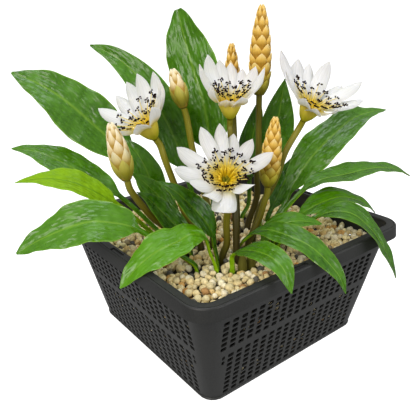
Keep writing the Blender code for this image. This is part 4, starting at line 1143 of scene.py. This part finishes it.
def petal_sheet(seat, axis, outward, sideways, opening, length, width, bow):
    """The rows of one petal, from the seat through the cup's mouth to its tip."""
    lean = math.radians(opening)
    along, away = (math.cos(lean), math.sin(lean)), (-math.sin(lean), math.cos(lean))
    profile = [(0.9, 1.2), (3.6, 4.0), (8.2, 6.0), (MOUTH_HEIGHT, MOUTH_RADIUS)]
    for share, lift in ((0.33, 0.7), (0.66, 1.0), (1.0, 0.0)):
        profile.append((MOUTH_HEIGHT + length * (along[0] * share + away[0] * bow * lift),
                        MOUTH_RADIUS + length * (along[1] * share + away[1] * bow * lift)))
    line = smooth_path([seat + axis * h + outward * q for h, q in profile], PETAL_STATIONS)
    directions = tangents(line)
    total = length + CUP_LENGTH + 1
    mouth = (CUP_LENGTH + 1) / total
    fronts, backs, places = [], [], []
    for k, (point, ahead) in enumerate(zip(line, directions)):
        share = k / (PETAL_STATIONS - 1)
        inward = sideways.cross(ahead).normalized()
        if inward.dot(outward) > 0 and share < mouth:
            inward = -inward
        past = (share - mouth) / (1 - mouth)
        if past < 0:
            half = PETAL_FOOT + (PETAL_AT_MOUTH * width - PETAL_FOOT) * (share / mouth)
            cup = half * half / BOWL_WIDTH
        else:
            swell = math.sin(min(past / PETAL_WIDEST, 1.0) * math.pi / 2)
            half = width * (PETAL_AT_MOUTH + PETAL_SWELL * swell)
            if past > PETAL_WIDEST:
                tip = (past - PETAL_WIDEST) / (1 - PETAL_WIDEST)
                half = width * 0.5 * max(math.cos(math.pi / 2 * tip ** 1.7), 0.0) ** 0.85
            cup = half * (0.30 - 0.10 * past)
        half = max(half, 0.25)
        front, behind, mapped = [], [], []
        for i in range(PETAL_COLUMNS):
            s = 2 * i / (PETAL_COLUMNS - 1) - 1
            thick = PETAL_THICKNESS * 0.5 * (1 - 0.75 * s ** 4) * (1 - 0.5 * share)
            lift = cup * s * s
            front.append(point + sideways * (s * half) + inward * (lift + thick))
            behind.append(point + sideways * (s * half) + inward * (lift - thick))
            mapped.append((s * 0.5 + 0.5, share, s * half * MAP_SCALE, share * total * MAP_SCALE))
        fronts.append(front)
        backs.append(behind)
        places.append(mapped)
    return fronts, backs, places


# A petal: fleshy and matt, so that light glows a few millimetres into it, clean white with faint grey veins
# 0.7 mm apart and warming to gold at its foot, whose colour fades from low to high, in millimetres. The
# other soft parts have the same kind of skin in colours of their own.
PETAL_GLOW_DEPTH = 0.003


def petal_material(name, foot_colour, body_colour, low, high, glow=0.0):
    made, tree, shader = new_material(name)
    shares = add(tree, "ShaderNodeUVMap", {}, uv_map="shares")
    lengths = add(tree, "ShaderNodeUVMap", {}, uv_map="millimetres")
    split = add(tree, "ShaderNodeSeparateXYZ", {0: lengths.outputs["UV"]})
    stretch = add(tree, "ShaderNodeMapping", {"Vector": shares.outputs["UV"], "Scale": (16.0, 1.4, 1.0)})
    veins = add(tree, "ShaderNodeTexNoise",
                {"Vector": stretch.outputs["Vector"], "Scale": 1.0, "Detail": 2.0})
    fade = add(tree, "ShaderNodeMapRange",
               {"Value": split.outputs["Y"], "From Min": low * MAP_SCALE, "From Max": high * MAP_SCALE},
               interpolation_type="SMOOTHSTEP")
    warm = add(tree, "ShaderNodeMix",
               {0: fade.outputs["Result"], 6: linear(foot_colour), 7: linear(body_colour)}, data_type="RGBA")
    shade = add(tree, "ShaderNodeMapRange",
                {"Value": veins.outputs["Fac"], "From Min": 0.35, "From Max": 0.65, "To Min": 0.90,
                 "To Max": 1.02})
    veined = add(tree, "ShaderNodeMix", {0: 1.0, 6: warm.outputs[2], 7: shade.outputs["Result"]},
                 data_type="RGBA", blend_type="MULTIPLY")
    soft = add(tree, "ShaderNodeMapRange", {"Value": veins.outputs["Fac"], "To Min": 0.45, "To Max": 0.62})
    bump = add(tree, "ShaderNodeBump", {"Height": veins.outputs["Fac"], "Strength": 0.35, "Distance": 0.0005})
    wire(tree, shader, {"Base Color": veined.outputs[2], "Roughness": soft.outputs["Result"],
                        "Normal": bump.outputs["Normal"],
                        "IOR": 1.40,
                        "Subsurface Weight": glow,
                        "Subsurface Radius": (1.0, 0.95, 0.7),
                        "Subsurface Scale": PETAL_GLOW_DEPTH})
    return made


petal_inside = petal_material("petal_fleshy_inside", "#ecc828", "#f6f6f4", 13, 25, 0.6)
petal_outside = petal_material("petal_fleshy_outside", "#d4bc20", "#f6f6f0", 12, 27, 0.6)
filament_skin = petal_material("filament_silky", "#e6c414", "#f2dc84", 6, 26, 0.3)
carpel_skin = petal_material("carpel_waxy", "#6f7d16", "#9a9a2a", 0, 8)
cup_skin = petal_material("receptacle_waxy", "#b4b010", "#f0d84c", 1, 11, 0.3)

# Ripe anthers: powdery and almost black, with a maroon cast. The pollen's grain is far finer than a
# render shows, so it is drawn at 0.7 mm.
anther_powder, tree, shader = new_material("anther_powdery")
place = add(tree, "ShaderNodeTexCoord", {})
powder = add(tree, "ShaderNodeTexNoise", {"Vector": place.outputs["Object"], "Scale": 1500.0, "Detail": 2.0})
ramp = add(tree, "ShaderNodeValToRGB", {"Fac": powder.outputs["Fac"]})
ramp.color_ramp.elements[0].position = 0.3
ramp.color_ramp.elements[0].color = linear("#0c0505")
ramp.color_ramp.elements[1].position = 0.8
ramp.color_ramp.elements[1].color = linear("#28100e")
dry = add(tree, "ShaderNodeMapRange", {"Value": powder.outputs["Fac"], "To Min": 0.6, "To Max": 0.9})
bump = add(tree, "ShaderNodeBump", {"Height": powder.outputs["Fac"], "Strength": 0.5, "Distance": 0.0002})
wire(tree, shader, {"Base Color": ramp.outputs["Color"], "Roughness": dry.outputs["Result"],
                    "Normal": bump.outputs["Normal"],
                    "Specular IOR Level": 0.1})

# The stamens stand in a spiral round each bowl: how many clusters, and the least and greatest distance of
# an anther cluster past the cup's mouth. Inside them stand the short stamens and the carpels.
STAMENS = {
    "front": (34, 1.0, 13.5),
    "left": (30, 3.0, 18.0),
    "top": (30, 2.0, 14.0),
    "right": (34, 2.0, 17.0)}
SPIRAL_STEP = 137.5
ANTHER_LIFT = 2.0
STAMEN_STATIONS = 10
SHORT_STAMENS = 12
SHORT_STAMEN_RADII = (0.5, 0.5, 0.5, 0.5, 0.55, 0.7, 0.9, 0.5)
CARPELS = 5
CARPEL_RADII = (0.7, 1.1, 1.4, 1.4, 1.2, 0.9, 0.5, 0.2)
# The cup's section, as height over its seat and radius: up the outside, over the brim and down inside
CUP_SECTION = (
    (0.1, 2.3), (1.2, 3.3), (3.2, 4.7), (6.0, 6.0), (9.0, 7.2), (11.6, 7.9), (11.8, 7.6), (8.6, 6.5),
    (5.0, 4.4), (3.0, 2.0), (2.6, 0.4))
CUP_SIDES = 36
CUP_LOBES = 6
CUP_LOBE = 0.04


def lathe(seat, axis, across, third, profile, sides, lobes=0, lobe=0.0):
    """A closed turned form from (height, radius) pairs, as points, faces, face materials and map."""
    points, places = [], []
    for k, (height, radius) in enumerate(profile):
        for i in range(sides):
            turn = math.tau * i / sides
            swollen = radius * (1 + lobe * math.cos(lobes * turn))
            outward = across * math.cos(turn) + third * math.sin(turn)
            points.append(seat + axis * height + outward * swollen)
            places.append((i / sides, k / (len(profile) - 1), i / sides * 0.3, height * MAP_SCALE))
    return (points, *closed_rings(len(profile), sides), places)


def spoke(across, third, turn):
    """The way outward from a head's axis at a turn in radians, and the way sideways from there."""
    outward = across * math.cos(turn) + third * math.sin(turn)
    return outward, third * math.cos(turn) - across * math.sin(turn)


def opening_at(petals, turn):
    """The opening of the flower's bowl at a turn, blended from those of the two nearest petals."""
    near = sorted((abs((petal[0] - turn + 180) % 360 - 180), petal[1]) for petal in petals)
    (near_turn, near_opening), (far_turn, far_opening) = near[:2]
    return (near_opening * (far_turn + 1) + far_opening * (near_turn + 1)) / (near_turn + far_turn + 2)


for flower in FLOWERS:
    short = flower.name[7:]
    chance = np.random.default_rng(len(short) + int(flower.elevation))
    seat = seats[flower.stalk]
    axis, across, third = axis_frame(flower.heading, flower.elevation)
    sheets = []
    for turn, opening, length, width, bow in flower.petals:
        outward, sideways = spoke(across, third, math.radians(turn))
        rows = petal_sheet(seat, axis, outward, sideways, opening, length, width, bow)
        sheets.append(grid_sheet(*rows, 1) + (PLAIN_TONE,))
    petals = joined("petals_" + short, sheets, [petal_inside, petal_outside])
    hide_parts(flower.name)
    wall = lathe(seat, axis, across, third, CUP_SECTION, CUP_SIDES, CUP_LOBES, CUP_LOBE)
    cup = joined("cup_" + short, [wall + (PLAIN_TONE,)], [cup_skin])
    threads, dots = [], []
    form, triangles = ball(2)
    clusters, nearest, farthest = STAMENS[short]
    for k in range(clusters):
        turn = k * SPIRAL_STEP % 360
        reach = nearest + (farthest - nearest) * ((k + 0.5) / clusters) ** 0.7
        number = int(chance.integers(3, 7))
        outward, sideways = spoke(across, third, math.radians(turn))
        lean = math.radians(opening_at(flower.petals, turn))
        along = axis * math.cos(lean) + outward * math.sin(lean)
        inward = axis * math.sin(lean) - outward * math.cos(lean)
        mouth = seat + axis * MOUTH_HEIGHT + outward * MOUTH_RADIUS
        head = mouth + along * reach + inward * ANTHER_LIFT
        root = seat + axis * 4.0 + outward * 2.0
        middle = seat + axis * (MOUTH_HEIGHT - 1) + outward * (MOUTH_RADIUS * 0.62)
        line = smooth_path([root, middle, head], STAMEN_STATIONS)
        radii = [0.42 - 0.02 * station for station in range(STAMEN_STATIONS)]
        threads.append(tube(line, radii, 6) + (PLAIN_TONE,))
        for n in range(number):
            spread = math.tau * n / number + chance.uniform(0, 0.8)
            far = chance.uniform(1.1, 1.9) if n else 0.0
            spot = head + (along * math.cos(spread) + sideways * math.sin(spread)) * far + inward * 0.3
            size = chance.uniform(0.58, 0.82)
            long_way = (along * chance.normal() + sideways * chance.normal()).normalized()
            wide_way = inward.cross(long_way)
            points = [spot + long_way * (u * size * 1.25) + wide_way * (v * size * 0.8)
                      + inward * (w * size * 0.7) for u, v, w in form]
            dots.append((points, [tuple(t) for t in triangles.tolist()], [0] * len(triangles),
                         [(0, 0, 0, 0)] * len(form), PLAIN_TONE))
    for n in range(SHORT_STAMENS):
        turn = math.tau * n / SHORT_STAMENS + chance.uniform(-0.15, 0.15)
        outward, _ = spoke(across, third, turn)
        tip_height = 13.5 + chance.uniform(-1, 1.5)
        tip_reach = 5.0 + chance.uniform(-0.8, 1.2)
        line = smooth_path([seat + axis * 4 + outward * 1.6, seat + axis * 9 + outward * 3.2,
                            seat + axis * tip_height + outward * tip_reach], len(SHORT_STAMEN_RADII))
        threads.append(tube(line, SHORT_STAMEN_RADII, 6) + (PLAIN_TONE,))
    filaments = joined("filaments_" + short, threads, [filament_skin])
    anthers = joined("anthers_" + short, dots, [anther_powder])
    carpels = []
    for n in range(CARPELS):
        outward, _ = spoke(across, third, math.tau * n / CARPELS)
        line = smooth_path([seat + axis * 3.2 + outward * 0.6, seat + axis * 7.0 + outward * 1.7,
                            seat + axis * 11.0 + outward * 1.9], len(CARPEL_RADII))
        carpels.append(tube(line, CARPEL_RADII, 8) + (PLAIN_TONE,))
    middle = joined("carpels_" + short, carpels, [carpel_skin])
    for piece in (petals, cup, filaments, anthers, middle):
        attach(piece, "root")


# The buds: four upright spikes of unopened flowers and one flower still shut, each wrapped in rows of
# overlapping pointed scales or petals, waxy and peach yellow or cream, greener towards the stalk.
FOOT_TONE = 0.05
CORE_TONE = 0.2
CORE_STATIONS = 14
CORE_SIDES = 18
SCALE_STATIONS = 10
SCALE_COLUMNS = 9
# Each has its height, widest radius, rows of scales, scales in a row and how many rows one scale covers.
Spike = namedtuple("Spike", "name stalk heading elevation length radius rows across cover")
SPIKES = (
    Spike("bud_tall", "stalk_tall_bud", -37, 89, 61.0, 7.9, 10, 5, 1.8),
    Spike("bud_back", "stalk_back_bud", 90, 88, 48.0, 5.8, 9, 5, 1.8),
    Spike("bud_small", "stalk_small_bud", -37, 85, 49.0, 7.1, 10, 5, 2.2),
    Spike("bud_left", "stalk_left_bud", 160, 79, 38.5, 7.0, 6, 5, 2.4),
    Spike("bud_closed", "stalk_closed_bud", 143, 76, 27.0, 5.7, 4, 4, 2.4),
)


def spike_swell(share):
    """A spike's radius at a share of its height, as a share of its widest; it closes to a point."""
    return math.sin(math.pi * (0.16 + 0.84 * min(share, 1.0) ** 0.85)) ** 0.7


def scale_sheet(seat, axis, outward, sideways, spike, low, length):
    """One scale: a small pointed spoon that follows the spike, its foot under the row below."""
    fronts, backs, places = [], [], []
    for k in range(SCALE_STATIONS):
        share = k / (SCALE_STATIONS - 1)
        height = low + length * share
        body = max(spike.radius * spike_swell(height / spike.length), 0.35)
        wide = math.pi * body / spike.across * 1.15
        wide *= math.sin(math.pi * (0.22 + 0.77 * share)) ** 0.95
        rise = body * (0.72 + 0.20 * share) + 1.1 * share ** 2
        front, behind, mapped = [], [], []
        for i in range(SCALE_COLUMNS):
            s = 2 * i / (SCALE_COLUMNS - 1) - 1
            bend = s * wide / body
            way = outward * math.cos(bend) + sideways * math.sin(bend)
            lift = rise + 1.1 * (1 - s * s) * math.sin(math.pi * share)
            base = seat + axis * height
            front.append(base + way * lift)
            behind.append(base + way * max(lift - 0.5 - 0.5 * (1 - share), 0.05))
            mapped.append((s * 0.5 + 0.5, share, s * wide * MAP_SCALE, share * length * MAP_SCALE))
        fronts.append(front)
        backs.append(behind)
        places.append(mapped)
    return fronts, backs, places


# Bud scales: waxy, with paler tips, a golden line where one slips under the next and green near the stalk,
# and a faint grain about 1 mm wide along each.
def bud_material(name, crease, body, tip):
    made, tree, shader = new_material(name)
    shares = add(tree, "ShaderNodeUVMap", {}, uv_map="shares")
    tone = add(tree, "ShaderNodeAttribute", {}, attribute_name="tone")
    split = add(tree, "ShaderNodeSeparateXYZ", {0: shares.outputs["UV"]})
    ramp = add(tree, "ShaderNodeValToRGB", {"Fac": split.outputs["Y"]})
    ramp.color_ramp.elements[0].position = 0.40
    ramp.color_ramp.elements[0].color = linear(crease)
    ramp.color_ramp.elements[1].position = 0.95
    ramp.color_ramp.elements[1].color = linear(tip)
    ramp.color_ramp.elements.new(0.66).color = linear(body)
    fresh = add(tree, "ShaderNodeMix", {0: split.outputs["Y"], 6: linear("#6e6c08"), 7: linear("#c4bc30")},
                data_type="RGBA")
    green = add(tree, "ShaderNodeMapRange", {"Value": tone.outputs["Fac"], "From Min": 0.08, "From Max": 0.28,
                                             "To Min": 0.9, "To Max": 0.0})
    base = add(tree, "ShaderNodeMix",
               {0: green.outputs["Result"], 6: ramp.outputs["Color"], 7: fresh.outputs[2]}, data_type="RGBA")
    stretch = add(tree, "ShaderNodeMapping", {"Vector": shares.outputs["UV"], "Scale": (9.0, 1.5, 1.0)})
    grain = add(tree, "ShaderNodeTexNoise",
                {"Vector": stretch.outputs["Vector"], "Scale": 1.0, "Detail": 3.0})
    shade = add(tree, "ShaderNodeMapRange", {"Value": grain.outputs["Fac"], "From Min": 0.3, "From Max": 0.7,
                                             "To Min": 0.84, "To Max": 1.06})
    waxed = add(tree, "ShaderNodeMix", {0: 1.0, 6: base.outputs[2], 7: shade.outputs["Result"]},
                data_type="RGBA", blend_type="MULTIPLY")
    gloss = add(tree, "ShaderNodeMapRange", {"Value": grain.outputs["Fac"], "To Min": 0.38, "To Max": 0.58})
    bump = add(tree, "ShaderNodeBump", {"Height": grain.outputs["Fac"], "Strength": 0.35, "Distance": 0.0004})
    wire(tree, shader, {"Base Color": waxed.outputs[2], "Roughness": gloss.outputs["Result"],
                        "Normal": bump.outputs["Normal"]})
    return made


bud_peach = bud_material("bud_scale_waxy_peach", "#b8881c", "#ecc052", "#f8de94")
bud_cream = bud_material("bud_scale_waxy_cream", "#bc9434", "#ecd8a4", "#fbf2d8")
for spike in SPIKES:
    seat = seats[spike.stalk]
    skin = bud_cream if spike.name in ("bud_left", "bud_closed") else bud_peach
    axis, across, third = axis_frame(spike.heading, spike.elevation)
    core = [(0.1, 2.1)]
    for k in range(CORE_STATIONS):
        share = (k + 0.5) / CORE_STATIONS
        core.append((spike.length * share * 0.97, spike.radius * 0.80 * spike_swell(share)))
    core.append((spike.length * 0.985, 0.3))
    sheets = [lathe(seat, axis, across, third, core, CORE_SIDES) + (CORE_TONE,)]
    for row in range(spike.rows):
        share = row / spike.rows
        length = spike.length * min(spike.cover / spike.rows, 1 - share)
        for n in range(spike.across):
            outward, sideways = spoke(across, third, math.tau * (n + 0.5 * (row % 2)) / spike.across)
            rows = scale_sheet(seat, axis, outward, sideways, spike, spike.length * share, length)
            sheets.append(grid_sheet(*rows, 0) + (share + FOOT_TONE,))
    piece = joined("scales_" + spike.name[4:], sheets, [skin])
    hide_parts(spike.name)
    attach(piece, "root")


# The sheaths: two short pointed leaf sheaths at the front of the crown, dry and brown-green, wrapped
# round the young stalks behind them.
SHEATH_STATIONS = 14
SHEATH_COLUMNS = 9
SHEATH_THICKNESS = 0.8
Sheath = namedtuple("Sheath", "name base heading height width")
SHEATHS = (
    Sheath("sheath_front", (-25, -50), -127, 13.0, 6.0),
    Sheath("sheath_front_right", (-17, -50), -127, 15.0, 6.0),
)
sheath_skin = petal_material("leaf_sheath_dry", "#6d6a24", "#a98c4a", 11, 24)
for sheath in SHEATHS:
    fronts, backs, places = [], [], []
    for k in range(SHEATH_STATIONS):
        share = k / (SHEATH_STATIONS - 1)
        swell = 0.86 + 0.24 * math.sin(math.pi * share)
        wide = sheath.width * 0.5 * swell * (1 - share ** 3.2) + 0.15
        centre = Vector((sheath.base[0], sheath.base[1],
                         GRAVEL_TOP + GAP - SOCKET_DEPTH + (SOCKET_DEPTH + sheath.height) * share))
        front, behind, mapped = [], [], []
        for i in range(SHEATH_COLUMNS):
            s = 2 * i / (SHEATH_COLUMNS - 1) - 1
            forward = unit(sheath.heading) * (1.6 * wide / 3 * (1 - s * s) + 0.2)
            aside = unit(sheath.heading + 90) * (s * wide)
            front.append(centre + aside + forward)
            behind.append(centre + aside + forward - unit(sheath.heading) * SHEATH_THICKNESS)
            mapped.append((s * 0.5 + 0.5, share, s * wide * MAP_SCALE, share * sheath.height * MAP_SCALE))
        fronts.append(front)
        backs.append(behind)
        places.append(mapped)
    piece = joined("wrap_" + sheath.name[7:], [grid_sheet(fronts, backs, places, 0) + (PLAIN_TONE,)],
                   [sheath_skin])
    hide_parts(sheath.name)
    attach(piece, "root")

low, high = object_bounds()
